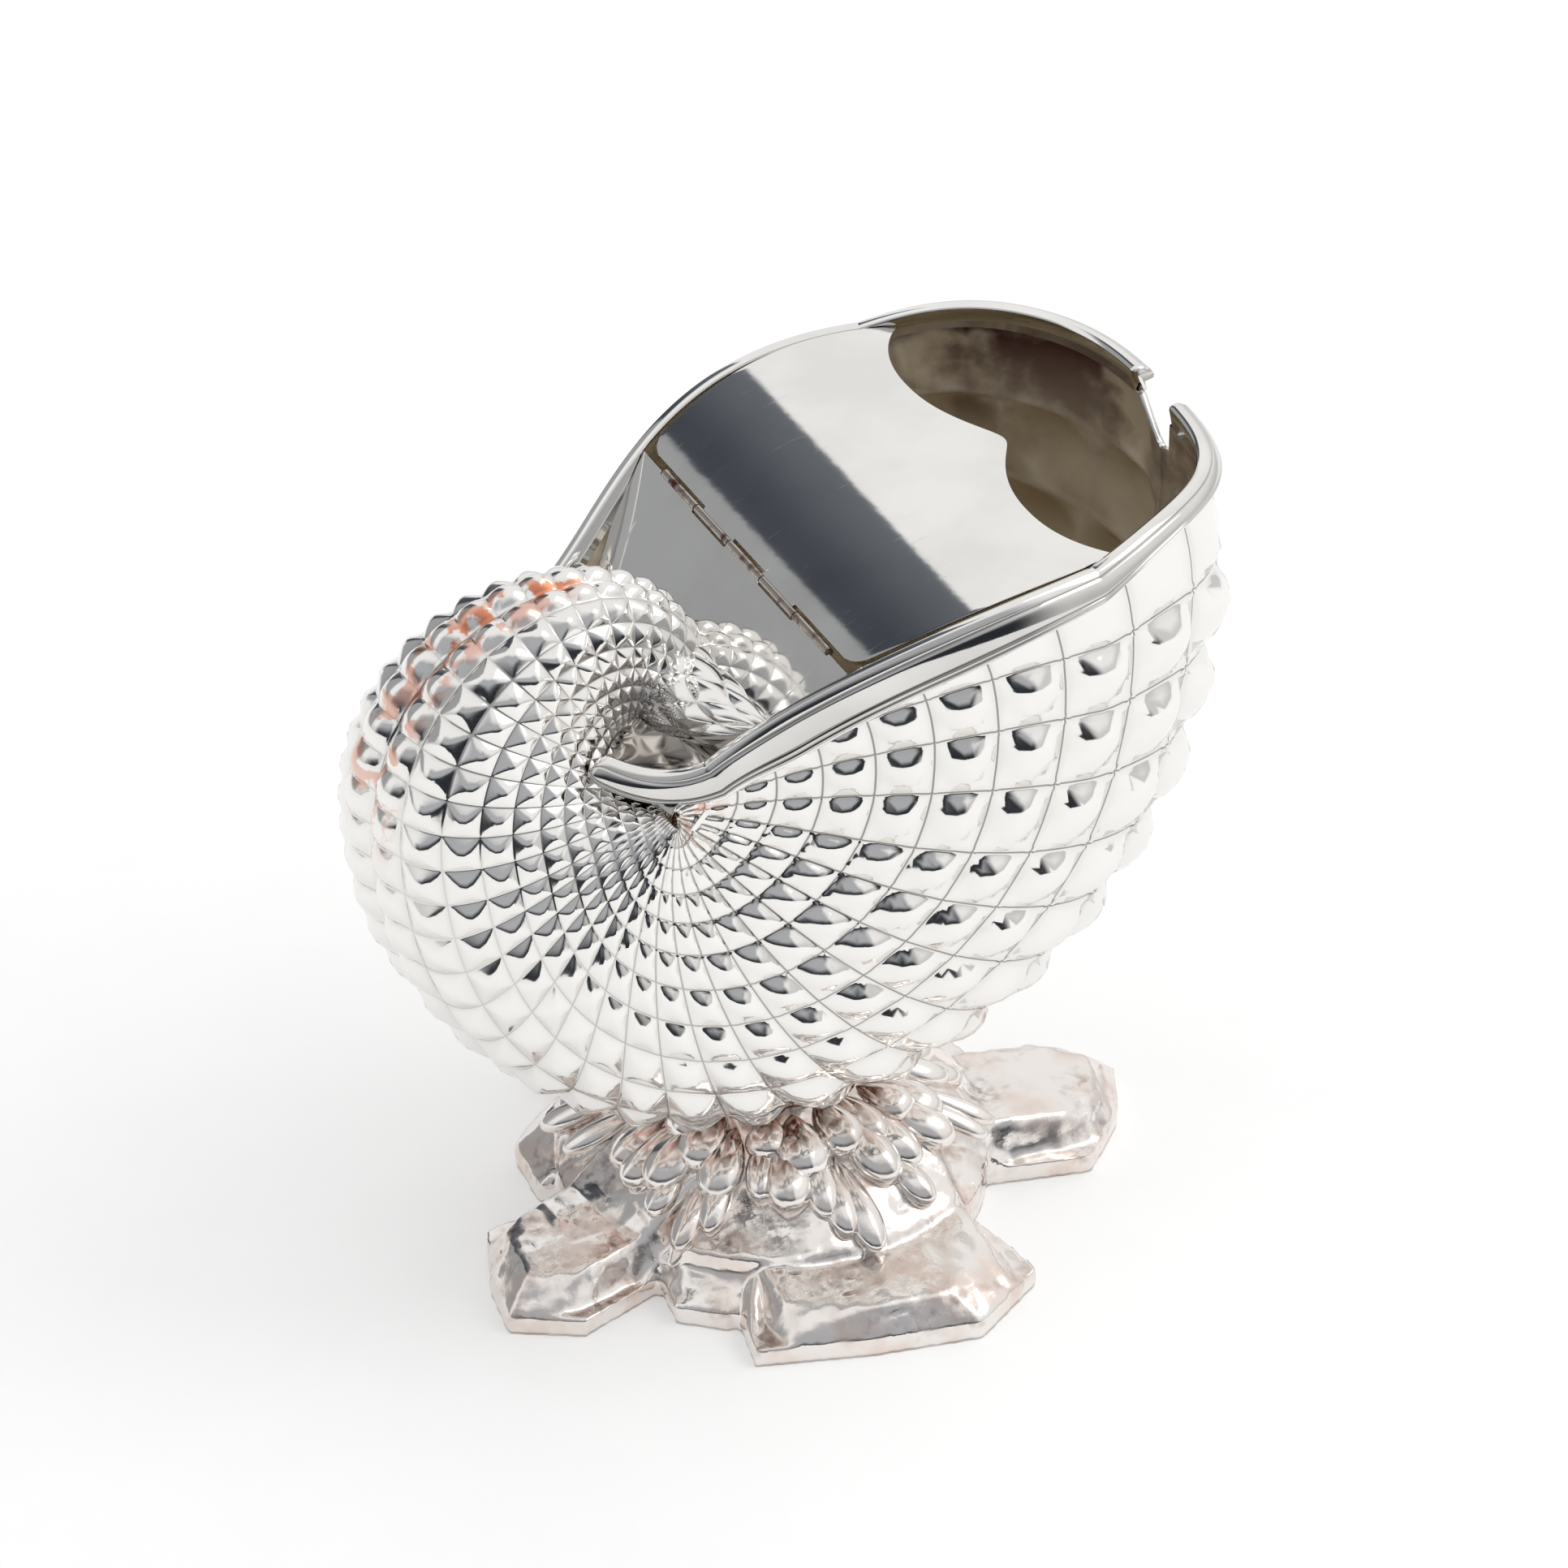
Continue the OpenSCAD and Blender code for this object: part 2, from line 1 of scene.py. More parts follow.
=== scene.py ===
"""Nautilus-shell spoon warmer: the looks of each piece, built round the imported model.

Metres, in the frame of the CAD model: X points to the mouth, Y to the left side, Z up.
"""

import math
from functools import partial

import bmesh
import bpy
import numpy as np
from mathutils import Matrix, Vector, noise


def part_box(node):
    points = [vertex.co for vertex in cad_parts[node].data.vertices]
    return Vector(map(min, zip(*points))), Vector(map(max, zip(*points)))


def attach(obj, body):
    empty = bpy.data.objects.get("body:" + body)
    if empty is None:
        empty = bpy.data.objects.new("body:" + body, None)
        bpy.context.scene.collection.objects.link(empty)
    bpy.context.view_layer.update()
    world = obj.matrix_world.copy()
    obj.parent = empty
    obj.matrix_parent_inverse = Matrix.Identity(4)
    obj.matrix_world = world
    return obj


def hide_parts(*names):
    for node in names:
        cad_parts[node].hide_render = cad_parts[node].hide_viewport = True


bl_info = {
    "name": "Nautilus Spoon Warmer",
    "version": (1, 0, 0),
    "blender": (4, 5, 0),
    "location": "View3D > Sidebar > Warmer",
    "description": "Builds the studded shell, lid, rock and seaweed of a silver-plated spoon warmer",
    "category": "Object",
}

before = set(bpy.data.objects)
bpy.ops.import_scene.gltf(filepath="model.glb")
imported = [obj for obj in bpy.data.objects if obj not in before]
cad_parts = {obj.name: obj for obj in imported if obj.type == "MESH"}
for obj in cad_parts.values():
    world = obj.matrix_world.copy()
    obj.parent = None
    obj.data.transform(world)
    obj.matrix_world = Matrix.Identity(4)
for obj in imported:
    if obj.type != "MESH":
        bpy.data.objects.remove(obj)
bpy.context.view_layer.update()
MM = 0.001
SHELL_BODY = "shell_and_base"
LID_BODY = "lid_flap"
SIDES = (("right", -1), ("left", 1))
RIM_FIRST = 0.045
RIM_LAST = 0.93


def linear(hex_code):
    """sRGB hex colour as linear RGBA."""
    parts = [int(hex_code[i:i + 2], 16) / 255 for i in (1, 3, 5)]
    return [c / 12.92 if c <= 0.04045 else ((c + 0.055) / 1.055) ** 2.4 for c in parts] + [1.0]


def length(name, description, mm):
    """A size in millimetres, kept as a length property."""
    return bpy.props.FloatProperty(
        name=name, description=description, default=mm * MM, unit="LENGTH", precision=5)


def share(name, description, default):
    """A plain ratio."""
    return bpy.props.FloatProperty(name=name, description=description, default=default, precision=3)


def angle(name, description, degrees):
    """An angle in degrees, kept as an angle property."""
    return bpy.props.FloatProperty(
        name=name, description=description, default=math.radians(degrees), subtype="ANGLE")


def count(name, description, default):
    """A whole number."""
    return bpy.props.IntProperty(name=name, description=description, default=default, min=1)


def colour(name, description, hex_code):
    """A colour written as sRGB hex."""
    return bpy.props.FloatVectorProperty(
        name=name, description=description, default=linear(hex_code), size=4, min=0, max=1, subtype="COLOR")


# Sizes and colours


class ShellSizes(bpy.types.PropertyGroup):
    """Coiled shell of two struck halves."""
    axis_z: length("Axis height", "Height of the coil axis above the table", 115)
    axis_back: length("Axis back", "Distance of the coil axis behind the middle of the rock", 36)
    coil_r: length("Coil radius", "Keel radius where the coil starts", 24)
    coil_grow: length("Coil growth", "Keel growth of the coil for each degree", 0.1375)
    body_swell: length("Body swell", "Extra keel radius that the body gains over the coil", 46.5)
    mouth_flare: length("Mouth flare", "Flare of the keel at the mouth", 3.6)
    coil_w: length("Coil half width", "Half width of the coil where it starts", 9.5)
    mouth_w: length("Mouth half width", "Half width of the body at the mouth", 53)
    sheet: length("Sheet", "Thickness of the struck sheet", 1.2)
    spokes: count("Spokes", "Spokes of studs from the coil to the mouth", 37)
    rows: count("Rows", "Rows of studs from the keel to the eye", 12)
    stud_coil: share("Stud on coil", "Height of a stud on the coil, as a share of its cell", 0.26)
    stud_mouth: share("Stud at mouth", "Height of a stud at the mouth, as a share of its cell", 0.23)
    line_w: length("Chased line", "Half width of the double line between cells of the body", 0.75)
    line_h: length("Chased line height", "Height of the double line above the valley", 0.38)
    notch_w: length("Notch width", "Width of the notch in front of the mouth", 9)
    notch_d: length("Notch depth", "Depth of the notch below the edge of the shell", 9)


class RimSizes(bpy.types.PropertyGroup):
    """Reeded wire along the mouth."""
    reed_r: length("Reed radius", "Radius of one reed of the rim wire", 0.6)
    band_up: length("Band height", "Height of the band above the edge of the shell", 4.5)
    band_down: length("Rim depth", "Depth of the rim below the edge of the shell, at its widest", 5.6)
    bulge: length("Band bulge", "Rounding of the band across its width", 1.3)
    lean: length("Band lean", "How far the foot of the band stands out from its top", 2.2)
    groove: length("Band groove", "Depth of the chased lines along the band", 0.4)
    starts: share("Rim start", "Share of the way from keel to eye where the wire starts", RIM_FIRST)
    ends: share("Rim end", "Share of the way from keel to eye where the wire leaves the edge", RIM_LAST)


class LidSizes(bpy.types.PropertyGroup):
    """Lid, saddle plate and hinge."""
    hinge_x: length("Hinge ahead", "Hinge line ahead of the coil axis", 31)
    hinge_up: length("Hinge height", "Hinge line above the coil axis", 28)
    hinge_len: length("Hinge length", "Length of the row of knuckles", 66)
    knuckles: count("Knuckles", "Knuckles along the hinge", 5)
    knuckle_r: length("Knuckle radius", "Outer radius of a knuckle", 0.9)
    front: length("Front edge", "Front edge of the lid ahead of the coil axis", 84)
    rise: length("Rise", "Rise of the lid from the hinge to its front edge", 10.2)
    bulge: length("Bulge", "Bulge of the lid above the chord between them", 4.2)
    scallop: length("Scallop", "Depth of the two scallops in the front edge", 8)
    tip: share("Tip round", "Rounding of the tip between the scallops, as a share of the half width", 0.06)
    corner: length("Corner", "Radius of the corners at the hinge", 3)
    plate: length("Plate", "Thickness of the lid and the saddle plate", 1.2)
    gap: length("Lid gap", "Gap between the lid and the rim wire", 0.8)
    slope: angle("Saddle slope", "Slope of the saddle plate", 49)
    saddle_low: length("Saddle foot", "Lower end of the saddle plate ahead of the coil axis", 3)
    edge: length("Edge round", "Rounding of the plate edges", 0.3)


class WhorlSizes(bpy.types.PropertyGroup):
    """Chased lobe between coil and saddle."""
    half: length("Half length", "Half length of the whorl across the saddle", 34)
    thick: length("Half thickness", "Half thickness of the whorl in the middle", 9.8)
    ahead: length("Ahead", "Middle of the whorl ahead of the coil axis", 13.5)
    bow: length("Bow", "Bow of the ends towards the hinge", 6.5)
    sink: length("Sink", "Sink of the whorl below the top of the saddle", 1.5)
    scale: length("Scale", "Size of one chased scale", 7.5)
    chase: length("Chasing", "Depth of the chased scales", 0.8)


class RockSizes(bpy.types.PropertyGroup):
    """Cast rock, collar and seaweed."""
    neck_z: length("Neck height", "Height of the rock at its neck", 27)
    neck_r: length("Neck radius", "Radius of the rock at its neck", 14)
    mound_r: length("Mound radius", "Radius of the mound at its foot", 41)
    mound_z: length("Mound foot", "Height of the mound above its foot wall", 12)
    grain: length("Grain", "Cell of the mesh that the rock is carved in", 0.8)
    rough: length("Roughness", "Depth of the broken surface of the casting", 0.6)
    collar_r: length("Collar radius", "Outer radius of the neck collar", 12.5)
    leaf_r: length("Leaf radius", "Radius of a leaf bladder", 4.4)
    bead_r: length("Bead radius", "Radius of a small end bladder", 2.8)


class Finishes(bpy.types.PropertyGroup):
    """Colours of the metals."""
    silver: colour("Silver plate", "Bright silver plate", "#F1EFEC")
    # The tarnish colour also draws the painted dark reflection at the foot of the rim band
    tarnish: colour("Tarnish", "Grey tarnish in chased lines", "#6E6862")
    copper: colour("Copper", "Copper that shows where the plate is worn through", "#D98E6E")
    inside: colour("Inside", "Brown tarnish inside the mouth", "#EBDCC0")
    inside_line: colour("Inside line", "Paler tarnish along the lines inside the mouth", "#FAF0DC")
    inside_dark: colour("Inside stain", "Dark stains inside the mouth", "#5A3230")
    hinge: colour("Hinge", "Brown tarnish and dirt in the hinge", "#BDB4AB")
    cast: colour("Cast silver", "Frosted silver plate on the casting", "#F1ECE8")
    cast_warm: colour("Cast blush", "Thin plate that lets the copper through", "#DCBBA8")
    # The cast recess colour draws dirt and painted shade: in the hollows of the casting, near the neck under
    # the shell, at the roots of the bladders
    cast_dark: colour("Cast recess", "Dirt in the recesses of the casting", "#7A5443")
    brass: colour("Brass", "Bare brass of the fixing", "#C9A45C")


class StageSizes(bpy.types.PropertyGroup):
    """Camera and floor."""
    aim: bpy.props.FloatVectorProperty(
        name="Aim", description="Point in the middle of the picture", default=(-0.0079, -0.0208, 0.1068),
        size=3, unit="LENGTH", precision=5)
    turn: angle("Turn", "Camera angle round the object, from the front towards the left of the picture", -27)
    tilt: angle("Tilt", "Camera angle above the table", 35)
    distance: length("Distance", "Camera distance from the aim", 1772)
    lens: bpy.props.FloatProperty(
        name="Lens", description="Focal length on a 36 mm sensor", default=223.6, unit="CAMERA")
    floor: length("Floor", "Reach of the floor to the sides and the back", 3000)
    floor_front: length("Floor front", "Reach of the floor towards the camera", 1000)


# Mesh helpers

BEVEL_STEPS, BEVEL_FROM = 3, math.radians(40)


def ease(x):
    """Smooth step from 0 to 1."""
    t = np.clip(x, 0.0, 1.0)
    return t * t * (3 - 2 * t)


def window(x, start, rise, end, fall):
    """Smooth rise from start and smooth fall to end."""
    return ease((x - start) / rise) * ease((end - x) / fall)


def unit(v):
    """Rows of v at length 1."""
    return v / np.maximum(np.linalg.norm(v, axis=-1, keepdims=True), 1e-12)


def mesh_piece(name, points, faces, attributes=None):
    """Smooth mesh object from arrays, with named point attributes."""
    mesh = bpy.data.meshes.new(name)
    mesh.from_pydata(np.asarray(points, float).reshape(-1, 3).tolist(), [], [list(f) for f in faces])
    for key, values in (attributes or {}).items():
        values = np.asarray(values, np.float32)
        vector = values.ndim > 1
        layer = mesh.attributes.new(key, "FLOAT_VECTOR" if vector else "FLOAT", "POINT")
        layer.data.foreach_set("vector" if vector else "value", values.ravel())
    mesh.polygons.foreach_set("use_smooth", [True] * len(mesh.polygons))
    mesh.update()
    piece = bpy.data.objects.new(name, mesh)
    bpy.context.scene.collection.objects.link(piece)
    return piece


def bake_modifiers(piece):
    """Turns the evaluated piece into its own plain mesh."""
    graph = bpy.context.evaluated_depsgraph_get()
    mesh = bpy.data.meshes.new_from_object(
        piece.evaluated_get(graph), preserve_all_data_layers=True, depsgraph=graph)
    old = piece.data
    piece.modifiers.clear()
    piece.data = mesh
    mesh.name = piece.name
    bpy.data.meshes.remove(old)
    if not mesh.polygons:
        raise RuntimeError(f"{piece.name} came out empty")
    return piece


def bevel(piece, width):
    """Rounds the sharp edges of a plate."""
    modifier = piece.modifiers.new("round_edges", "BEVEL")
    modifier.width = width
    modifier.segments = BEVEL_STEPS
    modifier.limit_method = "ANGLE"
    modifier.angle_limit = BEVEL_FROM
    return bake_modifiers(piece)


def settle(piece, body, slot, *nodes, material=None):
    """Rides a piece on its body in place of its CAD nodes, in its metal."""
    if material:
        piece.data.materials.append(material)
    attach(piece, body)
    if nodes:
        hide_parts(*nodes)


def weld(piece, reach=1e-7, outwards=True):
    """Joins points closer than reach and turns the faces of a closed mesh outwards."""
    work = bmesh.new()
    work.from_mesh(piece.data)
    bmesh.ops.remove_doubles(work, verts=work.verts, dist=reach)
    if outwards:
        bmesh.ops.recalc_face_normals(work, faces=work.faces)
    work.to_mesh(piece.data)
    work.free()
    return piece


def grid_faces(ni, nj, first=0, loop=False, flip=False):
    """Quads of a grid of ni by nj points, joined round in j where it loops."""
    faces = []
    for i in range(ni - 1):
        for j in range(nj if loop else nj - 1):
            a, b = first + i * nj, first + (i + 1) * nj
            k = (j + 1) % nj
            quad = (a + j, a + k, b + k, b + j)
            faces.append(quad[::-1] if flip else quad)
    return faces


def border(ni, nj):
    """Pairs of neighbouring points round the edge of a grid."""
    ring = [i * nj for i in range(ni)] + [(ni - 1) * nj + j for j in range(1, nj)]
    ring += [i * nj + nj - 1 for i in range(ni - 2, -1, -1)] + [j for j in range(nj - 2, 0, -1)]
    return zip(ring, ring[1:] + ring[:1])


def plate_piece(name, top, bottom):
    """Closed plate between two grids of points of the same shape, top facing up."""
    ni, nj = top.shape[:2]
    n = ni * nj
    faces = grid_faces(ni, nj) + grid_faces(ni, nj, n, flip=True)
    faces += [(a, b, b + n, a + n) for a, b in border(ni, nj)]
    return weld(mesh_piece(name, np.concatenate([top.reshape(-1, 3), bottom.reshape(-1, 3)]), faces))


def tube_piece(name, rings, valley):
    """Closed tube through rings of points, with capped ends and a valley value at each point, which on the
    rim band also holds painted dark reflection.
    """
    ni, nj = rings.shape[:2]
    ends = [list(range(nj)), [(ni - 1) * nj + j for j in range(nj)]]
    return weld(mesh_piece(name, rings, grid_faces(ni, nj, loop=True) + ends, {"valley": valley.ravel()}))


# Node helpers


def wire(node, links):
    """Sets inputs of a node to values, sockets or the first output of other nodes."""
    for key, value in links.items():
        if isinstance(value, bpy.types.Node):
            value = next(socket for socket in value.outputs if socket.enabled)
        if isinstance(value, bpy.types.NodeSocket):
            node.id_data.links.new(value, node.inputs[key])
        else:
            node.inputs[key].default_value = value


def add(tree, kind, *inputs, links=None, **settings):
    """Adds a node with its settings, its first inputs in order and further links by name or number."""
    node = tree.nodes.new(kind)
    for key, value in settings.items():
        setattr(node, key, value)
    wire(node, {**dict(enumerate(inputs)), **(links or {})})
    return node


def geometry_tree(name, *numbers):
    """New Geometry Nodes tree with named numbers as inputs: the tree, its inputs and its end."""
    tree = bpy.data.node_groups.new(name, "GeometryNodeTree")
    tree.interface.new_socket("Geometry", in_out="INPUT", socket_type="NodeSocketGeometry")
    for number in numbers:
        tree.interface.new_socket(number, in_out="INPUT", socket_type="NodeSocketFloat")
    tree.interface.new_socket("Geometry", in_out="OUTPUT", socket_type="NodeSocketGeometry")
    return tree, add(tree, "NodeGroupInput").outputs, add(tree, "NodeGroupOutput")


def apply_tree(piece, tree, **numbers):
    """Runs a Geometry Nodes tree on a piece, with its inputs set by the identifiers of their sockets."""
    modifier = piece.modifiers.new(tree.name, "NODES")
    modifier.node_group = tree
    for item in tree.interface.items_tree:
        key = item.name.lower().replace(" ", "_")
        if item.in_out == "INPUT" and key in numbers:
            modifier[item.identifier] = numbers[key]
    return bake_modifiers(piece)


# Shell form, with angles in degrees round the coil axis

COIL_START, COIL_END = 30.0, 377.0
BODY_START, BODY_RUN = 190, 183
FLARE_START, FLARE_RUN = 352, 25
WIDEN_START, WIDEN_RUN = 35, 355
DIP_START, DIP_RUN = 200, 150
DIP_SHARE, DIP_REACH = 0.4, 0.38
SQUARE_OFF = 0.63
SECTION_DEPTH = 2.2
ROW_RATIO = 0.88
ROW_REACH = 0.993
SPOKE_CROWD = 0.11
SPOKE_STEP, ROW_STEP = 0.1, 0.006

# Lead of a spoke over its keel angle: none on the coil, back on the body, ahead at the mouth

BACK_START, BACK_RUN, BACK_LEAD = 0.46, 0.43, 24
MOUTH_START, MOUTH_RUN = 0.89, 0.11
MOUTH_LEAD, MOUTH_REACH = 21, 0.8
LIP_SAG, LIP_REACH = 2.2, 0.3
EYE_HOOK, EYE_REACH = 85, 0.07


class ShellForm:
    """Left half of the shell: points by spoke and by share of the way from keel to eye."""

    def __init__(self, size):
        self.size = size
        self.fold = np.linspace(0, 90, 721)
        path = np.stack([SECTION_DEPTH * self.depth(self.fold), self.width(self.fold)], -1)
        run = np.concatenate([[0], np.cumsum(np.linalg.norm(np.diff(path, axis=0), axis=1))])
        self.run = run / run[-1]

    @staticmethod
    def depth(fold):
        """Share of the keel radius at a fold of 0 to 90 degrees across the section."""
        return np.maximum(np.cos(np.radians(fold)), 0) ** SQUARE_OFF

    @staticmethod
    def width(fold):
        """Share of the half width at a fold of 0 to 90 degrees across the section."""
        return np.maximum(np.sin(np.radians(fold)), 0) ** SQUARE_OFF

    def keel(self, a):
        """Keel radius at an angle."""
        size = self.size
        swell = size.body_swell * ease((a - BODY_START) / BODY_RUN)
        swell = swell + size.mouth_flare * ease((a - FLARE_START) / FLARE_RUN)
        return size.coil_r + size.coil_grow * (a - COIL_START) + swell

    def spoke_angle(self, k):
        """Angle of spoke k on the keel."""
        u = k / self.size.spokes
        return COIL_START + (COIL_END - COIL_START) * ((1 + SPOKE_CROWD) * u - SPOKE_CROWD * u * u)

    def spoke_lead(self, k, t):
        """Degrees that spoke k runs ahead of its keel angle; t is 1 on the keel and 0 at the eye."""
        u = k / self.size.spokes
        back = -BACK_LEAD * np.sin(np.radians(180 * (u - BACK_START) / BACK_RUN)) * (1 - t)
        sag = LIP_SAG * np.sin(np.pi * np.minimum((1 - t) / LIP_REACH, 1))
        hook = EYE_HOOK * np.maximum(1 - t / EYE_REACH, 0) ** 2
        ahead = np.sin(np.radians(90 * (u - MOUTH_START) / MOUTH_RUN))
        ahead = ahead * (MOUTH_LEAD * ease((1 - t) / MOUTH_REACH) + sag + hook)
        return np.where(u < BACK_START, 0.0, np.where(u < MOUTH_START, back, ahead))

    def half_width(self, a):
        """Half width of the section at an angle."""
        return self.size.coil_w + (self.size.mouth_w - self.size.coil_w) * ease((a - WIDEN_START) / WIDEN_RUN)

    def row_share(self, v):
        """Share of the way from keel to eye at row v."""
        return ROW_REACH * (1 - ROW_RATIO ** v) / (1 - ROW_RATIO ** self.size.rows)

    def point(self, k, s):
        """Point of the smooth outer skin at spoke k and share s."""
        size = self.size
        fold = np.interp(np.minimum(np.abs(s), 1), self.run, self.fold)
        t = self.depth(fold)
        keel_a = self.spoke_angle(k)
        a = keel_a + self.spoke_lead(k, t)
        r = self.keel(keel_a) * t
        dip = DIP_SHARE * ease((a - DIP_START) / DIP_RUN) * np.exp(-(t / DIP_REACH) ** 2)
        y = np.sign(s) * self.half_width(a) * self.width(fold) * (1 - dip)
        a = np.radians(a)
        return np.stack([r * np.cos(a) - size.axis_back, y, r * np.sin(a) + size.axis_z], -1)

    def outward(self, k, s):
        """Direction out of the shell at spoke k and share s."""
        across = self.point(k, np.minimum(s + ROW_STEP, 1)) - self.point(k, s - ROW_STEP)
        along = self.point(k + SPOKE_STEP, s) - self.point(k - SPOKE_STEP, s)
        return unit(np.cross(across, along))

    def rim(self, s):
        """Edge of the mouth at share s."""
        return self.point(np.full_like(s, self.size.spokes), s)

    def mouth_half(self, x, lid):
        """Half width that is free inside the mouth at x ahead of the coil axis."""
        edge = self.rim(np.linspace(RIM_LAST, RIM_FIRST, 400))
        return np.interp(x, edge[:, 0] + self.size.axis_back, edge[:, 1]) - self.size.sheet - lid.gap


# Lattice of studs, with places in spokes and rows and heights as shares of a cell

CELL_STEPS = (0.0, 0.045, 0.11, 0.25, 0.42, 0.58, 0.75, 0.89, 0.955)
NOTCH_SPOKES, NOTCH_STEPS = 2, 60
BODY_FROM, BODY_FADE = 0.45, 0.45
DOME_FROM, DOME_FADE = 0.6, 0.25
DOME_LOW, DOME_HIGH, DOME_SIDE = 0.05, 0.97, 0.92
DOME_ROUND, RIDGE_ROUND = 0.85, 0.25
CROWN_SHIFT = 0.14
LIP_FLAT, LIP_CELL, LIP_FADE = 0.7, 0.9, 0.4
KNOB_LAST, KNOB_FADE = 22, 4
KNOB_HEIGHT, KNOB_DOME, KNOB_WIDER = 0.28, 0.8, 0.3
SEAM_LAST, SEAM_FADE, SEAM_WIDTH, SEAM_DEPTH = 24, 6, 0.22, 0.8 * MM
VALLEY_WIDTH = 0.16
LINING_FROM = 0.75


def shell_grid(form):
    """Spoke and row of each point of the lattice, with the front notch left out."""
    size = form.size
    k = np.array([i + f for i in range(size.spokes) for f in CELL_STEPS] + [size.spokes], float)
    v = np.array([i + f for i in range(size.rows) for f in CELL_STEPS] + [size.rows], float)
    k, v = np.meshgrid(k, v, indexing="ij")
    lip = form.rim(np.zeros(1))[0]
    half = size.notch_w / 2
    last = size.spokes - NOTCH_SPOKES
    for j in range(k.shape[1]):
        s = form.row_share(v[0, j])
        y = form.rim(np.array([s]))[0, 1]
        if y < half:
            up = np.linspace(last, size.spokes, NOTCH_STEPS)
            z = form.point(up, np.full_like(up, s))[:, 2]
            ends = np.interp(lip[2] - size.notch_d + half - math.sqrt(half * half - y * y), z, up)
            end_cells = k[:, j] > last
            k[end_cells, j] = last + (k[end_cells, j] - last) * (ends - last) / NOTCH_SPOKES
    return k, v


def to_edge(f):
    """Distance from the nearer edge of a cell, for a place of 0 to 1 across it."""
    return np.minimum(f, 1 - f)


def shell_points(form):
    """Smooth outer and inner skins of the left half with what the lattice needs at each point."""
    size = form.size
    k, v = shell_grid(form)
    s = form.row_share(v)
    out = form.outward(k, s)
    out[:, 0, 1] = 0
    out = unit(out)
    outer = form.point(k, s)
    outer[:, 0, 1] = 0
    inner = outer - size.sheet * out
    cell_k = np.minimum(np.floor(k), size.spokes - 1)
    cell_v = np.minimum(np.floor(v), size.rows - 1)
    row_a, row_m, row_b = (form.row_share(cell_v + f) for f in (0, 0.5, 1))
    wide = np.linalg.norm(form.point(cell_k + 1, row_m) - form.point(cell_k, row_m), axis=-1)
    tall = np.linalg.norm(form.point(cell_k + 0.5, row_b) - form.point(cell_k + 0.5, row_a), axis=-1)
    to_mouth = ease((cell_k / size.spokes - BODY_FROM) / BODY_FADE)
    stud = (size.stud_coil + (size.stud_mouth - size.stud_coil) * to_mouth) * np.minimum(wide, tall)
    stud *= 1 - LIP_FLAT * ease((k - size.spokes + LIP_CELL) / LIP_FADE)
    knob = ease((KNOB_LAST - k) / KNOB_FADE) * (v < 1)
    stud = stud + knob * (KNOB_HEIGHT * wide - stud)
    across, along = k - cell_k, v - cell_v
    crown = 0.5 + CROWN_SHIFT * to_mouth
    from_crown = np.maximum((crown - across) / (crown - DOME_LOW), (across - crown) / (DOME_HIGH - crown))
    values = {
        "outward": out, "across": across, "along": along, "stud": stud, "chased": to_mouth,
        "from_crown": from_crown * (1 - KNOB_WIDER * knob),
        "from_spine": np.abs(2 * along - 1) / DOME_SIDE,
        "pillow": np.maximum(ease((cell_k / size.spokes - DOME_FROM) / DOME_FADE), KNOB_DOME * knob),
        "groove": SEAM_DEPTH * np.exp(-(v / SEAM_WIDTH) ** 2) * ease((SEAM_LAST - k) / SEAM_FADE),
        "line_across": to_edge(across) * wide, "line_along": to_edge(along) * tall,
        "valley": 1 - ease(np.minimum(to_edge(across), to_edge(along)) / VALLEY_WIDTH),
        "spoke": k, "row": v, "cell_wide": wide, "cell_tall": tall, "wear": shell_wear(k, v),
    }
    return outer, inner, values


def shell_wear(k, v):
    """Where the plate is rubbed thin, by spoke and row: the seam, the keel, the eye and the foot."""
    groove = window(k, 5, 2, 13, 2) * ease((0.55 - v) / 0.25)
    keel = 0.6 * window(k, 6, 2, 17, 3) * ease((1.0 - v) / 0.3)
    eye = ease((v - 10) / 1.2) * (0.8 * ease((9 - k) / 3) + 0.5 * window(k, 29, 2, 36, 1))
    foot = 0.5 * window(k, 22, 3, 31, 3) * ease((1.6 - v) / 0.8)
    return np.maximum.reduce([groove, keel, eye, foot])


def shell_faces(ni, nj):
    """Triangles of both skins, with outer diagonals along the stud ridges, closed round the edges."""
    faces = []
    n = ni * nj
    step = len(CELL_STEPS)
    for i in range(ni - 1):
        for j in range(nj - 1):
            a, b, c, d = i * nj + j, i * nj + j + 1, (i + 1) * nj + j + 1, (i + 1) * nj + j
            rising = (i % step < step / 2) == (j % step < step / 2)
            faces += [(a, b, c), (a, c, d)] if rising else [(a, b, d), (b, c, d)]
            faces += [(n + a, n + c, n + b), (n + a, n + d, n + c)]
    for a, b in border(ni, nj):
        faces += [(a, b, b + n), (a, b + n, a + n)]
    return faces


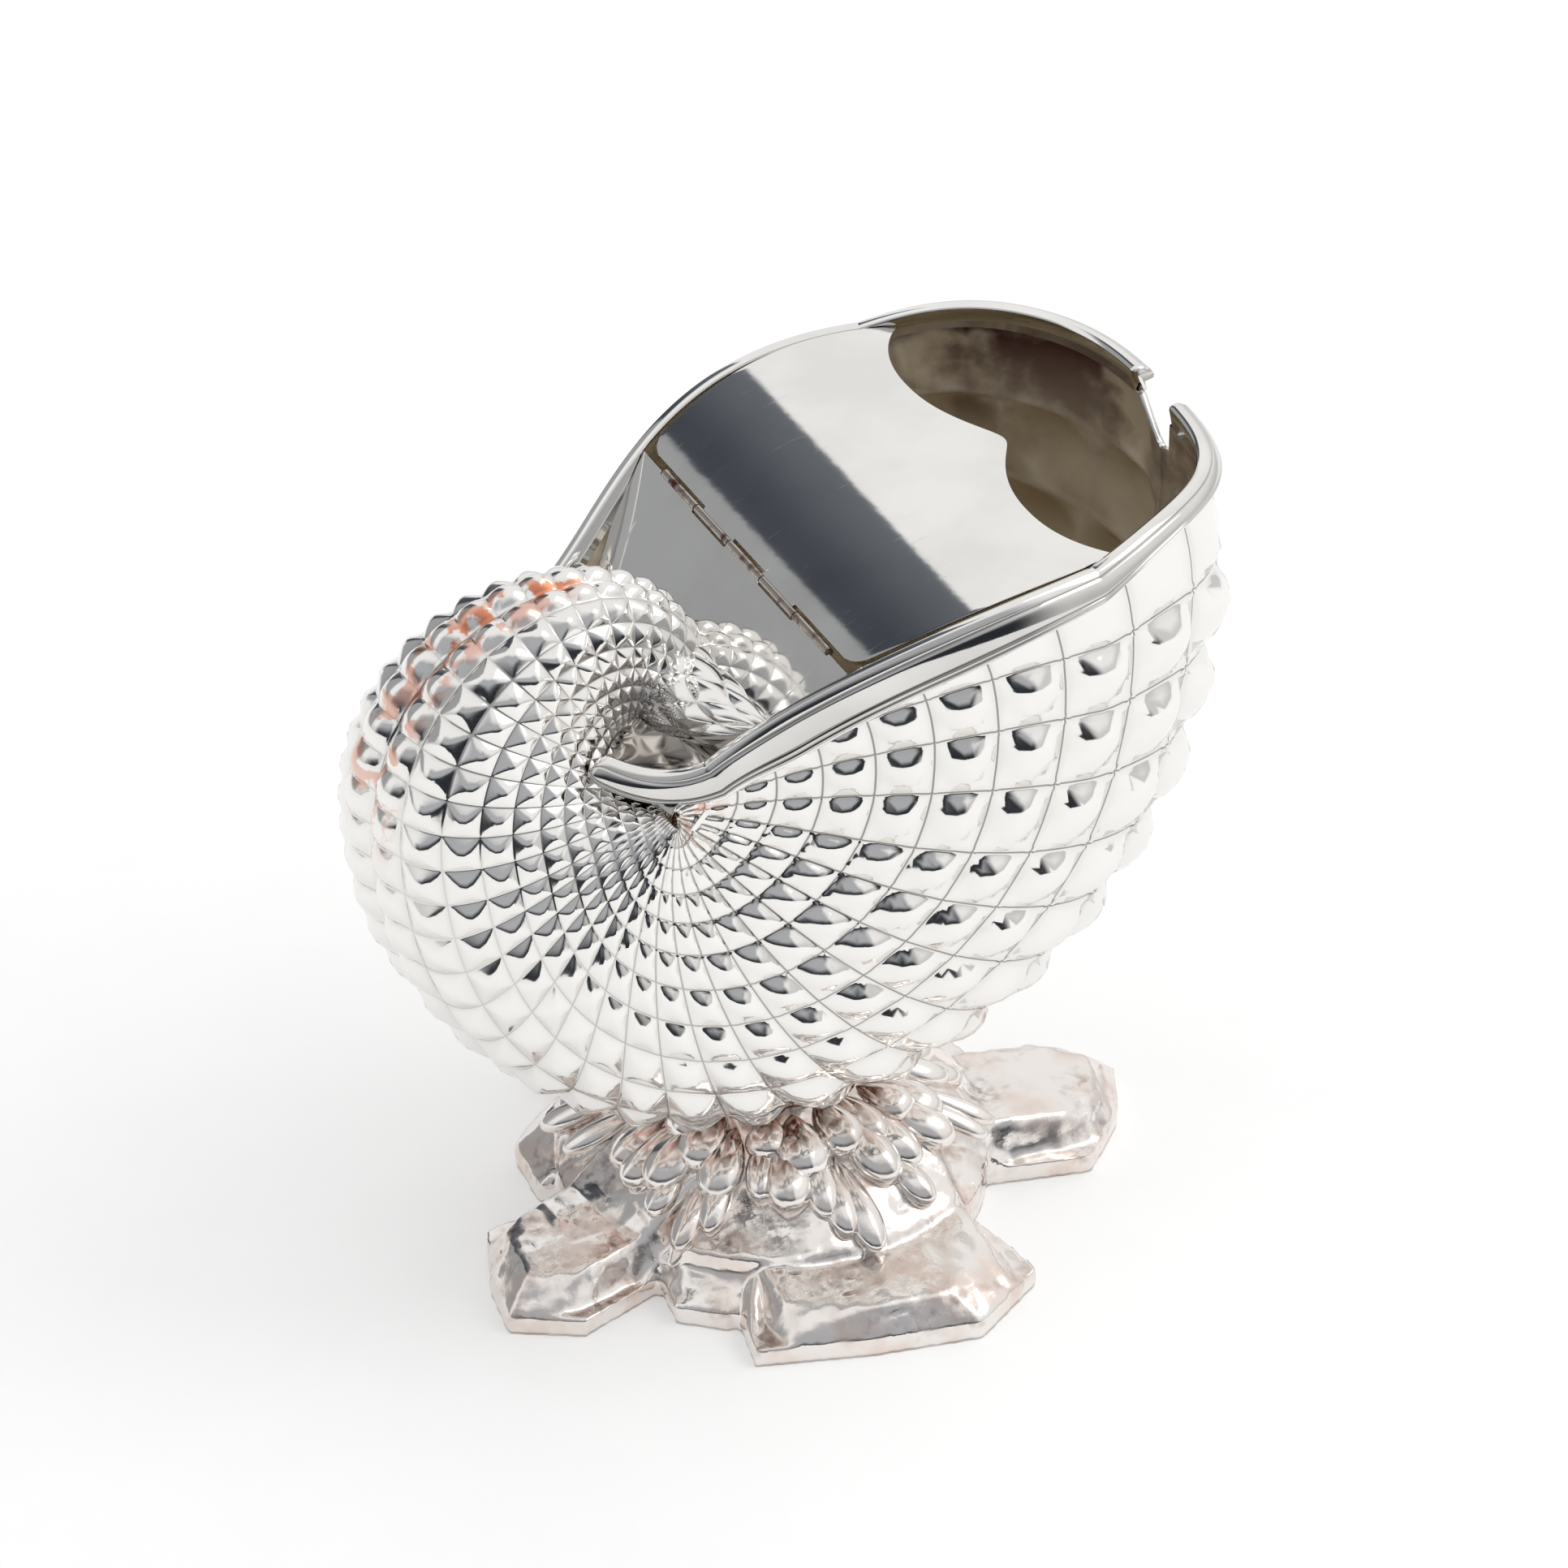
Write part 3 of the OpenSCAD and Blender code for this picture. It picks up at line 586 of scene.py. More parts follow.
def stud_lattice_tree(plate, lining):
    """Raises a stud in each cell of the lattice and a double line along the cells of the body."""
    tree, start, end = geometry_tree("stud_lattice", "Line Width", "Line Height")
    node = partial(add, tree)
    names = ("across", "along", "from_crown", "from_spine", "pillow", "stud", "line_across", "line_along",
             "chased", "groove", "inside")
    field = {name: node("GeometryNodeInputNamedAttribute", name, data_type="FLOAT") for name in names}
    outward = node("GeometryNodeInputNamedAttribute", "outward", data_type="FLOAT_VECTOR")
    away, squares, lines = [], [], []
    for cell, dome, line in (("across", "from_crown", "line_across"), ("along", "from_spine", "line_along")):
        centred = node("ShaderNodeMath", field[cell], 2.0, -1.0, operation="MULTIPLY_ADD")
        away.append(node("ShaderNodeMath", centred, operation="ABSOLUTE"))
        squares.append(node("ShaderNodeMath", field[dome], 2.0, operation="POWER"))
        beside = node("ShaderNodeMath", field[line], start["Line Width"], operation="SUBTRACT")
        beside = node("ShaderNodeMath", beside, operation="ABSOLUTE")
        beside = node("ShaderNodeMath", beside, start["Line Width"], operation="DIVIDE")
        lines.append(node("ShaderNodeMath", 1.0, beside, operation="SUBTRACT", use_clamp=True))
    steep = node("ShaderNodeMath", *away, RIDGE_ROUND, operation="SMOOTH_MAX")
    pyramid = node("ShaderNodeMath", 1.0, steep, operation="SUBTRACT", use_clamp=True)
    spread = node("ShaderNodeMath", *squares, operation="ADD")
    dome = node("ShaderNodeMath", 1.0, spread, operation="SUBTRACT", use_clamp=True)
    dome = node("ShaderNodeMath", dome, DOME_ROUND, operation="POWER")
    shape = node("ShaderNodeMix", field["pillow"], links={2: pyramid, 3: dome}, data_type="FLOAT")
    lift = node("ShaderNodeMath", shape, field["stud"], operation="MULTIPLY")
    line = node("ShaderNodeMath", *lines, operation="MAXIMUM")
    line = node("ShaderNodeMath", line, start["Line Height"], operation="MULTIPLY")
    line = node("ShaderNodeMath", line, field["chased"], operation="MULTIPLY")
    lift = node("ShaderNodeMath", lift, line, operation="MAXIMUM")
    lift = node("ShaderNodeMath", lift, field["groove"], operation="SUBTRACT")
    offset = node("ShaderNodeVectorMath", outward, links={"Scale": lift}, operation="SCALE")
    moved = node("GeometryNodeSetPosition", start["Geometry"], links={"Offset": offset})
    whole = node("GeometryNodeRealizeInstances", moved)
    plated = node("GeometryNodeSetMaterial", whole, links={"Material": plate})
    is_lining = node("ShaderNodeMath", field["inside"], LINING_FROM, operation="GREATER_THAN")
    lined = node("GeometryNodeSetMaterial", plated, links={"Selection": is_lining, "Material": lining})
    wire(end, {0: lined})
    return tree


class WARMER_OT_shell(bpy.types.Operator):
    """Strike the two halves of the shell with their lattice of studs"""
    bl_idname = "warmer.shell"
    bl_label = "Shell Halves"

    def execute(self, context):
        size = context.scene.warmer_shell
        outer, inner, values = shell_points(ShellForm(size))
        tree = stud_lattice_tree(metal(struck_silver), metal(tarnished_lining))
        ni, nj = outer.shape[:2]
        faces = shell_faces(ni, nj)
        for hand, side in SIDES:
            name = f"shell_{hand}_half"
            mirror = np.array([1, side, 1])
            points = np.concatenate([outer.reshape(-1, 3), inner.reshape(-1, 3)]) * mirror
            both = {key: np.concatenate([x.reshape(-1, *x.shape[2:])] * 2) for key, x in values.items()}
            both["outward"] = both["outward"] * mirror
            both["inside"] = np.repeat([0.0, 1.0], ni * nj)
            turned = [f[::-1] for f in faces] if side < 0 else faces
            piece = mesh_piece(name + "_struck", points, turned, both)
            apply_tree(piece, tree, line_width=size.line_w, line_height=size.line_h)
            settle(piece, SHELL_BODY, "struck_silver_plate", name)
        return {"FINISHED"}


# Rim, with places as shares of the way from keel to eye

REED_TURN = np.linspace(-82, 82, 11)
BAND_TURN = np.linspace(-82, 82, 51)
BAND_LINES, BAND_LINE_WIDTH = (-50, -28, 38), 4
# Painted dark reflection on the rim band: valley value at its foot, fading to none at its top
BAND_PAINTED_REFLECTION = 0.5
BEAD_OVERLAP = 1.06
BEAD_STAND = 0.4
RIM_STATIONS, CURL_STATIONS = 170, 40
EDGE_INSET = 0.2
START_ROUND, END_ROUND, END_LEAST = 2, 4, 0.02
CURL_OUT = np.array([0, 0.9, -0.35])
CURL_TAPER, CURL_LEAVES = 0.3, 0.4
LEAST_DEPTH, DEPTH_FROM, DEPTH_FADE = 1.6, 0.25, 0.4
EYE_NARROW, EYE_FROM, EYE_FADE = 0.4, 0.82, 0.11
FRONT_RISE, FRONT_FROM, FRONT_FADE = 0.1, 0.15, 0.25


def band_line(degrees):
    """Depth of the chased lines round the band, 0 to 1."""
    return sum(np.exp(-((degrees - middle) / BAND_LINE_WIDTH) ** 2) for middle in BAND_LINES)


def bead(foot, half, turn, reed, bulge, lean=0.0, groove=0.0):
    """Rounded strip at each station: distance out from the wall and height from its edge."""
    a = np.radians(turn)[None]
    out = bulge * np.cos(a) + BEAD_STAND * reed + lean * (1 - np.sin(a)) / 2 - groove * band_line(turn)
    out = np.broadcast_to(out, (len(foot), len(turn)))
    return np.stack([out, foot[:, None] + half[:, None] * (1 + BEAD_OVERLAP * np.sin(a))], -1)


def rim_profile(size, sheet, down, rise):
    """Two reeds under a lined band, and the back of the wire, at each station."""
    reed = size.reed_r
    low, thin = -down, np.full_like(down, reed)
    foot = low + 4 * reed
    reeds = [bead(start, thin, REED_TURN, reed, reed) for start in (low, low + 2 * reed)]
    band = bead(foot, (rise - foot) / 2, BAND_TURN, reed, size.bulge, size.lean, size.groove)
    back = ((0.05 * reed, rise + 0.3 * reed), (-0.5 * sheet, rise + 0.25 * reed),
            (-sheet, rise - 0.1 * reed), (-1.15 * sheet, rise - 0.8 * reed),
            (-1.15 * sheet, 0 * low), (-0.2 * reed, 0 * low), (-0.2 * reed, low))
    back = [np.stack([np.full_like(low, out), height], -1)[:, None] for out, height in back]
    return np.concatenate(reeds + [band] + back, axis=1)


def curl_run(u):
    """Way of the rim in x, y and z from the edge of the mouth, at u of 0, to the end of its curl, at 1."""
    return MM * np.stack([-19 * u, -8.6 * u - 4 * u * u, -9.4 * u + 10.6 * u * u], -1)


def rim_rings(form, size):
    """Rings of points along the edge of the mouth, lying on the shell below it, and round the curl."""
    s = np.linspace(size.starts, size.ends, RIM_STATIONS)
    s = np.concatenate([s, np.full(CURL_STATIONS, size.ends)])
    u = np.concatenate([np.zeros(RIM_STATIONS), np.linspace(0, 1, CURL_STATIONS + 1)[1:]])
    mouth = np.full_like(s, form.size.spokes)
    edge = form.point(mouth, s)
    curl = curl_run(u)
    path = edge + curl
    out = form.outward(mouth - EDGE_INSET, s) * (1 - u)[:, None] + CURL_OUT * u[:, None]
    along = unit(np.gradient(path, axis=0))
    out = unit(out - along * np.sum(out * along, -1, keepdims=True))
    up = -np.cross(along, out)
    taper = 1 - CURL_TAPER * u
    narrow = 1 - EYE_NARROW * ease((s - EYE_FROM) / EYE_FADE)
    down = size.band_down * ease((s - DEPTH_FROM) / DEPTH_FADE) * narrow * taper + LEAST_DEPTH * size.reed_r
    rise = size.band_up * (1 + FRONT_RISE - FRONT_RISE * ease((s - FRONT_FROM) / FRONT_FADE)) * taper
    shape = rim_profile(size, form.size.sheet, down, rise)
    middle = shape.mean(1, keepdims=True)
    place = np.arange(len(s))
    from_start, from_end = place / START_ROUND + 0.5, (len(s) - 1 - place) / END_ROUND
    to_ends = np.clip(np.minimum(from_start, from_end), END_LEAST, 1)
    shape = middle + (shape - middle) * np.sqrt(1 - (1 - to_ends) ** 2)[:, None, None]
    height = shape[..., 1]
    spoke = np.linalg.norm(edge - form.point(mouth - 1, s), axis=-1)[:, None]
    below = mouth[:, None] + np.minimum(height, 0) / spoke
    on_shell = form.point(below, np.broadcast_to(s[:, None], height.shape))
    on_shell = on_shell + curl[:, None] + up[:, None] * np.maximum(height, 0)[..., None]
    free = path[:, None] + up[:, None] * height[..., None]
    leave = ease(u / CURL_LEAVES)[:, None, None]
    return on_shell * (1 - leave) + free * leave + out[:, None] * shape[..., :1]


class WARMER_OT_rim(bpy.types.Operator):
    """Sweep the reeded rim wires along the mouth"""
    bl_idname = "warmer.rim"
    bl_label = "Rim Wires"

    def execute(self, context):
        rings = rim_rings(ShellForm(context.scene.warmer_shell), context.scene.warmer_rim)
        reed, reeds, band = len(REED_TURN), 2 * len(REED_TURN), len(BAND_TURN)
        grooves_and_painted_reflection = np.zeros(rings.shape[:2])
        # The band's valley values hold its chased lines and a painted dark reflection that fades from its
        # foot to its top
        grooves_and_painted_reflection[:, reeds:reeds + band] = np.maximum(np.linspace(BAND_PAINTED_REFLECTION, 0, band), band_line(BAND_TURN))
        grooves_and_painted_reflection[:, (0, reed - 1, reed, reeds - 1, reeds, -1)] = 1.0
        for hand, side in SIDES:
            name = f"rim_wire_{hand}"
            piece = tube_piece(name + "_reeded", rings * np.array([1, side, 1]), grooves_and_painted_reflection)
            settle(piece, SHELL_BODY, "polished_silver_plate", name, material=metal(polished_silver))
        return {"FINISHED"}


# Hollow sheets at the eye

HOLLOW_EDGE, HOLLOW_CURL, HOLLOW_STEPS, WEB_STEPS = 20, 30, 33, 9
HOLLOW_FROM, HOLLOW_TO, WEB_TO = 0.87, 0.92, 0.995
HOLLOW_LIFT, HOLLOW_SAG = 2.2 * MM, 1.6 * MM
HOLLOW_SINK, HOLLOW_LEAST, HOLLOW_OVER = 1 * MM, 2 * MM, 0.3 * MM


class WARMER_OT_hollow(bpy.types.Operator):
    """Beat the smooth hollow between the curl of the rim and the side of the coil"""
    bl_idname = "warmer.hollow"
    bl_label = "Hollow at the Eye"

    def execute(self, context):
        rim = context.scene.warmer_rim
        lid = context.scene.warmer_lid
        form = ShellForm(context.scene.warmer_shell)
        size = form.size
        s = np.linspace(HOLLOW_FROM, rim.ends, HOLLOW_EDGE)
        lip_s = np.concatenate([s, np.linspace(rim.ends, WEB_TO, HOLLOW_CURL + 1)[1:]])
        s = np.concatenate([s, np.full(HOLLOW_CURL, rim.ends)])
        u = np.concatenate([np.zeros(HOLLOW_EDGE), np.linspace(0, HOLLOW_TO, HOLLOW_CURL + 1)[1:]])
        path = form.rim(s) + curl_run(u)
        x, z = path[:, 0] + size.axis_back, path[:, 2] - size.axis_z
        plate = lid.hinge_up - (lid.hinge_x - x) * math.tan(lid.slope) + HOLLOW_OVER
        z = plate + (z + HOLLOW_LIFT - plate) * ease(np.arange(len(s)) / HOLLOW_EDGE)
        a = np.maximum(np.degrees(np.arctan2(z, x)), COIL_START)
        fold = np.degrees(np.arccos(np.clip(np.hypot(x, z) / form.keel(a), 0, 1) ** (1 / SQUARE_OFF)))
        side = form.half_width(a) * form.width(fold) - HOLLOW_SINK
        into = np.linspace(0, 1, HOLLOW_STEPS)[None]
        y = path[:, 1:2] + (np.minimum(side, path[:, 1] - HOLLOW_LEAST) - path[:, 1])[:, None] * into
        sag = HOLLOW_SAG * np.sin(np.pi * into)
        top = np.stack(np.broadcast_arrays(path[:, :1], y, z[:, None] + size.axis_z - sag), -1)
        lip = form.rim(lip_s)[:, None]
        web = lip + (top[:, :1] - lip) * np.linspace(0, 1, WEB_STEPS)[None, :-1, None]
        top = np.concatenate([web, top], axis=1)
        low = top - np.array([0, 0, size.sheet])
        for hand, turn in SIDES:
            mirror = np.array([1, turn, 1])
            piece = plate_piece("eye_hollow_" + hand, top * mirror, low * mirror)
            dull = piece.data.attributes.new("valley", "FLOAT", "POINT")
            dull.data.foreach_set("value", np.ones(len(piece.data.vertices), np.float32))
            settle(piece, SHELL_BODY, "polished_silver_plate", material=metal(polished_silver))
        return {"FINISHED"}


# Lid, saddle and hinge

LID_COLUMNS, LID_ROWS, LID_CROWD = 121, 81, 1.3
STEP_PLACES = (-0.3 * MM, -0.05 * MM, 0.05 * MM, 0.3 * MM)
BACK_AT_KNUCKLE, BACK_BETWEEN = 0.2, 0.85
SCALLOP_ROUND = 2.2
SADDLE_ROWS, SADDLE_SAG = 61, 0.5 * MM
SADDLE_AT_LID, SADDLE_AT_OWN, SADDLE_PAST_HINGE = 1.75 * MM, 1.3 * MM, 0.7 * MM
SADDLE_OVERLAP, SADDLE_LEAST = 0.95 * MM, 6 * MM


def at_lid_knuckle(y, lid):
    """Whether the knuckle at y belongs to the lid; the end knuckles run on past the hinge."""
    place = np.floor((y + lid.hinge_len / 2) / (lid.hinge_len / lid.knuckles))
    return np.clip(place, 0, lid.knuckles - 1) % 2 == 1


def columns(lid, half):
    """Places across the lid, close together where the edge steps from knuckle to knuckle."""
    steps = [lid.hinge_len * (i / lid.knuckles - 0.5) for i in range(lid.knuckles + 1)]
    close = [y + d for y in steps for d in STEP_PLACES]
    return np.unique(np.concatenate([np.linspace(-1, 1, LID_COLUMNS), np.array(close) / half]))


class WARMER_OT_lid(bpy.types.Operator):
    """Bend the hinged lid and cut its two scallops"""
    bl_idname = "warmer.lid"
    bl_label = "Lid"

    def execute(self, context):
        lid = context.scene.warmer_lid
        form = ShellForm(context.scene.warmer_shell)
        run = lid.front - lid.hinge_x
        chord = math.hypot(run, lid.rise)
        radius = (chord * chord / 4 + lid.bulge ** 2) / (2 * lid.bulge)
        to_centre = (radius - lid.bulge) / chord
        centre_x = lid.hinge_x + run / 2 + to_centre * lid.rise
        centre_z = lid.hinge_up + lid.rise / 2 - to_centre * run
        hinge_half = float(form.mouth_half(lid.hinge_x + lid.corner, lid))
        eta = columns(lid, hinge_half)
        back = np.where(at_lid_knuckle(eta * hinge_half, lid), BACK_AT_KNUCKLE, BACK_BETWEEN)
        back = lid.hinge_x + back * lid.knuckle_r
        from_tip = (np.hypot(eta, lid.tip) - lid.tip) / (np.hypot(1, lid.tip) - lid.tip)
        front = lid.front - lid.scallop * (1 - np.abs(2 * from_tip - 1) ** SCALLOP_ROUND)
        ahead = np.linspace(0, 1, LID_ROWS) ** LID_CROWD
        x = back[None] + ahead[:, None] * (front - back)[None]
        near_hinge = np.clip(1 - (x - lid.hinge_x - lid.knuckle_r) / lid.corner, 0, 1)
        half = form.mouth_half(x, lid) - lid.corner * (1 - np.sqrt(1 - near_hinge ** 2))
        up = np.sqrt(radius ** 2 - (x - centre_x) ** 2)
        normal = np.stack([(x - centre_x) / radius, np.zeros_like(x), up / radius], -1)
        top = np.stack([x - form.size.axis_back, eta[None] * half, centre_z + up + form.size.axis_z], -1)
        piece = bevel(plate_piece("lid_plate", top, top - lid.plate * normal), lid.edge)
        settle(piece, LID_BODY, "polished_silver_plate", "lid", material=metal(polished_silver))
        return {"FINISHED"}


class WARMER_OT_saddle(bpy.types.Operator):
    """Fit the sloping saddle plate between the hinge and the coil"""
    bl_idname = "warmer.saddle"
    bl_label = "Saddle Plate"

    def execute(self, context):
        lid = context.scene.warmer_lid
        form = ShellForm(context.scene.warmer_shell)
        hinge_half = float(form.mouth_half(lid.hinge_x, lid))
        eta = columns(lid, hinge_half)
        y = eta * hinge_half
        start = np.where(at_lid_knuckle(y, lid), SADDLE_AT_LID, SADDLE_AT_OWN)
        start = np.where(np.abs(y) > lid.hinge_len / 2, SADDLE_PAST_HINGE, start)
        end = (lid.hinge_x - lid.saddle_low) / math.cos(lid.slope)
        down = np.linspace(0, 1, SADDLE_ROWS)[:, None]
        d = start[None] + down * (end - start[None])
        x = lid.hinge_x - d * math.cos(lid.slope)
        half = np.maximum(form.mouth_half(x, lid) + SADDLE_OVERLAP, SADDLE_LEAST)
        z = lid.hinge_up + form.size.axis_z - d * math.sin(lid.slope) - SADDLE_SAG * np.sin(np.pi * down)
        top = np.stack([x - form.size.axis_back, eta[None] * half, z], -1)
        normal = np.array([-math.sin(lid.slope), 0, math.cos(lid.slope)])
        piece = bevel(plate_piece("saddle_sheet", top[::-1], (top - lid.plate * normal)[::-1]), lid.edge)
        settle(piece, SHELL_BODY, "polished_silver_plate", "saddle_plate", material=metal(polished_silver))
        return {"FINISHED"}


def finish_nodes(names, material):
    """Gives CAD nodes that stay as they are their own finish."""
    for name in names:
        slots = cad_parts[name].data.materials
        slots.clear()
        slots.append(material)


class WARMER_OT_hinge(bpy.types.Operator):
    """Finish the knuckles and the pin"""
    bl_idname = "warmer.hinge"
    bl_label = "Hinge"

    def execute(self, context):
        finish_nodes(("saddle_knuckles", "lid_knuckles", "hinge_pin"), metal(hinge_silver))
        return {"FINISHED"}


# Inner whorl

WHORL_RINGS, WHORL_TURNS, WHORL_CUT = 181, 144, 0.02
WHORL_FULL, WHORL_GIRTH = 0.9, 0.85
SCALE_LONG, SCALE_SHARP, SCALE_FADE, SCALE_VALLEY = 0.6, 0.7, 0.4, 0.3
FAR_DROP, FAR_FROM, FAR_FADE = 2.5 * MM, 0.5, 0.35


class WARMER_OT_whorl(bpy.types.Operator):
    """Chase the inner whorl with diamond scales"""
    bl_idname = "warmer.whorl"
    bl_label = "Inner Whorl"

    def execute(self, context):
        size = context.scene.warmer_whorl
        lid = context.scene.warmer_lid
        shell = context.scene.warmer_shell
        v = -np.cos(np.linspace(WHORL_CUT, math.pi - WHORL_CUT, WHORL_RINGS))[:, None]
        a = np.linspace(0, 2 * math.pi, WHORL_TURNS + 1)[None, :-1]
        swell = (1 - v * v) ** WHORL_FULL
        round_run = a * size.thick * WHORL_GIRTH
        long_run = v * size.half
        p, q = ((SCALE_LONG * long_run + sign * round_run) * math.pi / size.scale for sign in (1, -1))
        scales = np.abs(np.sin(p) * np.sin(q)) ** SCALE_SHARP
        r = swell * size.thick + size.chase * scales * ease(swell / SCALE_FADE)
        x = size.ahead + size.bow * v * v
        fall = math.tan(lid.slope)
        hinge_z = shell.axis_z + lid.hinge_up
        z = hinge_z - size.sink - (lid.hinge_x - x) * fall - FAR_DROP * ease((v - FAR_FROM) / FAR_FADE)
        rings = (x - shell.axis_back + r * np.cos(a), long_run, z + r * np.sin(a))
        rings = np.stack(np.broadcast_arrays(*rings), -1).copy()
        plane = hinge_z - (lid.hinge_x - shell.axis_back - rings[..., 0]) * fall - lid.plate / 2
        rings[..., 2] = np.maximum(rings[..., 2], plane)
        valley = np.broadcast_to(1 - ease(scales / SCALE_VALLEY), rings.shape[:2])
        piece = tube_piece("inner_whorl_chased", rings, valley)
        settle(piece, SHELL_BODY, "struck_silver_plate", "inner_whorl", material=metal(struck_silver))
        return {"FINISHED"}


# Rock, collar and seaweed

COLLAR_TURNS, COLLAR_BORE, COLLAR_CUP = 96, 2.7 * MM, 5 * MM


def lathe(name, profile, turns):
    """Closed ring turned from a profile of radius and height."""
    a = np.linspace(0, 2 * math.pi, turns + 1)[:-1]
    r, z = profile[:, 0], profile[:, 1]
    rings = (r[None] * np.cos(a)[:, None], r[None] * np.sin(a)[:, None], z[None])
    rings = np.stack(np.broadcast_arrays(*rings), -1)
    rings = np.concatenate([rings, rings[:1]])
    return weld(mesh_piece(name, rings, grid_faces(*rings.shape[:2], loop=True)))


class WARMER_OT_collar(bpy.types.Operator):
    """Turn the collar between rock and shell"""
    bl_idname = "warmer.collar"
    bl_label = "Neck Collar"

    def execute(self, context):
        low, high = (corner[2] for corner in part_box("neck_collar"))
        r, h = context.scene.warmer_rock.collar_r, high - low
        # Inset from the collar radius in millimetres, and height above its foot
        steps = ((0.3, 0), (0, 0.35 * MM), (0, 0.95 * MM), (0.35, 1.4 * MM), (1.2, 1.9 * MM),
                 (1.6, 2.6 * MM), (1.8, 0.5 * h), (1.6, 0.68 * h), (1.15, 0.8 * h), (0.9, 0.88 * h),
                 (0.6, h - 0.2 * MM), (0.8, h), (3.4, h))
        turned = [(r - inset * MM, z) for inset, z in steps]
        shape = [(COLLAR_BORE, 0)] + turned + [(COLLAR_BORE, h - COLLAR_CUP)]
        piece = lathe("neck_collar_turned", np.array(shape) + np.array([0, low]), COLLAR_TURNS)
        settle(piece, SHELL_BODY, "cast_silver_plate", "neck_collar", material=metal(worn_copper))
        return {"FINISHED"}


def copy_of_node(name, new_name):
    """Merged copy of a CAD node as a new piece."""
    piece = bpy.data.objects.new(new_name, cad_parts[name].data.copy())
    bpy.context.scene.collection.objects.link(piece)
    weld(piece, reach=1e-6, outwards=False)
    piece.data.materials.clear()
    return piece


FOOT_FLAT = 0.6 * MM
SOFTEN_SHARE, SOFTEN_TIMES = 0.5, 4
BROAD_SIZE, FACET_SIZE, FINE_SIZE = 11 * MM, 7 * MM, 2.6 * MM
BROAD_DEPTH, FACET_DEPTH, FINE_DEPTH = 0.9, 0.25, 0.3
FOOT_STILL, FOOT_FADE = 0.4 * MM, 3 * MM
ROUGHER, ROUGHER_WITHIN, ROUGHER_FADE = 1.2, 48 * MM, 8 * MM
# Dirt and painted shade round the neck, under the shell: reach and fade
NECK_DIRT_AND_SHADE, NECK_DIRT_AND_SHADE_FADE = 15 * MM, 7 * MM


def carve(piece, depth):
    """Breaks up the smooth skin of the casting, leaving its foot flat."""
    mesh = piece.data
    normals = [vertex.normal.copy() for vertex in mesh.vertices]
    hollow = mesh.attributes.new("hollow", "FLOAT", "POINT")
    for vertex, normal in zip(mesh.vertices, normals):
        broad = noise.noise(vertex.co / BROAD_SIZE)
        facet = noise.cell(vertex.co / FACET_SIZE) - 0.5
        fine = noise.noise(vertex.co / FINE_SIZE)
        above = float(ease((vertex.co.z - FOOT_STILL) / FOOT_FADE))
        within = ROUGHER_WITHIN - math.hypot(vertex.co.x, vertex.co.y)
        inner = 1 + ROUGHER * float(ease(within / ROUGHER_FADE))
        shift = BROAD_DEPTH * broad * inner + FACET_DEPTH * facet + FINE_DEPTH * fine
        shift *= depth * above
        vertex.co += normal * shift
        # Hollow value for dirt and painted shade: high in the hollows of the carving and near the neck, under
        # the shell
        near_neck = 1 - (math.hypot(vertex.co.x, vertex.co.y) - NECK_DIRT_AND_SHADE) / NECK_DIRT_AND_SHADE_FADE
        hollow.data[vertex.index].value = max(0.5 - shift / (2 * depth), min(near_neck, 1.0))


# Angle of each lobe of the rock in degrees and its half width in millimetres

LOBES = ((192, 15), (230, 11), (271, 26), (352, 16), (42, 20), (94, 21), (140, 16))
LOBE_SHARE, LOBE_FADE = 0.95, 4 * MM
SKIRT_FROM, SKIRT_LOW, SKIRT_FOOT, SKIRT_PAST, SKIRT_CURVE = 0.6, 4 * MM, 5 * MM, 3 * MM, 0.9


def lobe_cover(place):
    """How far a place lies on a lobe of the rock, 0 to 1."""
    cover = 0.0
    for degrees, half in LOBES:
        a = math.radians(degrees)
        aside = abs(place.y * math.cos(a) - place.x * math.sin(a))
        if place.x * math.cos(a) + place.y * math.sin(a) > 0:
            cover = max(cover, float(ease((half * MM * LOBE_SHARE - aside) / LOBE_FADE)))
    return cover


def slope_skirt(piece, rock):
    """Slopes the foot of the mound down between the lobes, so that no round step is left."""
    reach = rock.mound_r + SKIRT_PAST - rock.neck_r
    for vertex in piece.data.vertices:
        place = vertex.co
        r = math.hypot(place.x, place.y)
        if r < SKIRT_FROM * rock.mound_r or place.z < SKIRT_LOW:
            continue
        high = rock.neck_z - (rock.neck_z - SKIRT_FOOT) * ((r - rock.neck_r) / reach) ** SKIRT_CURVE
        low = min(place.z, max(high, SKIRT_LOW))
        place.z = low + (place.z - low) * lobe_cover(place)


class WARMER_OT_rock(bpy.types.Operator):
    """Carve the cast rock"""
    bl_idname = "warmer.rock"
    bl_label = "Rock"

    def execute(self, context):
        rock = context.scene.warmer_rock
        piece = copy_of_node("rock_base", "rock_base_cast")
        remesh = piece.modifiers.new("carving_grain", "REMESH")
        remesh.mode = "VOXEL"
        remesh.voxel_size = rock.grain
        remesh.use_smooth_shade = True
        relax = piece.modifiers.new("soften", "SMOOTH")
        relax.factor = SOFTEN_SHARE
        relax.iterations = SOFTEN_TIMES
        bake_modifiers(piece)
        for vertex in piece.data.vertices:
            if vertex.co.z < FOOT_FLAT:
                vertex.co.z = 0.0
        slope_skirt(piece, rock)
        carve(piece, rock.rough)
        piece.data.materials.clear()
        settle(piece, SHELL_BODY, "cast_silver_plate", "rock_base", material=metal(cast_silver))
        return {"FINISHED"}


# Name, middle angle in degrees and reach in millimetres of each spray

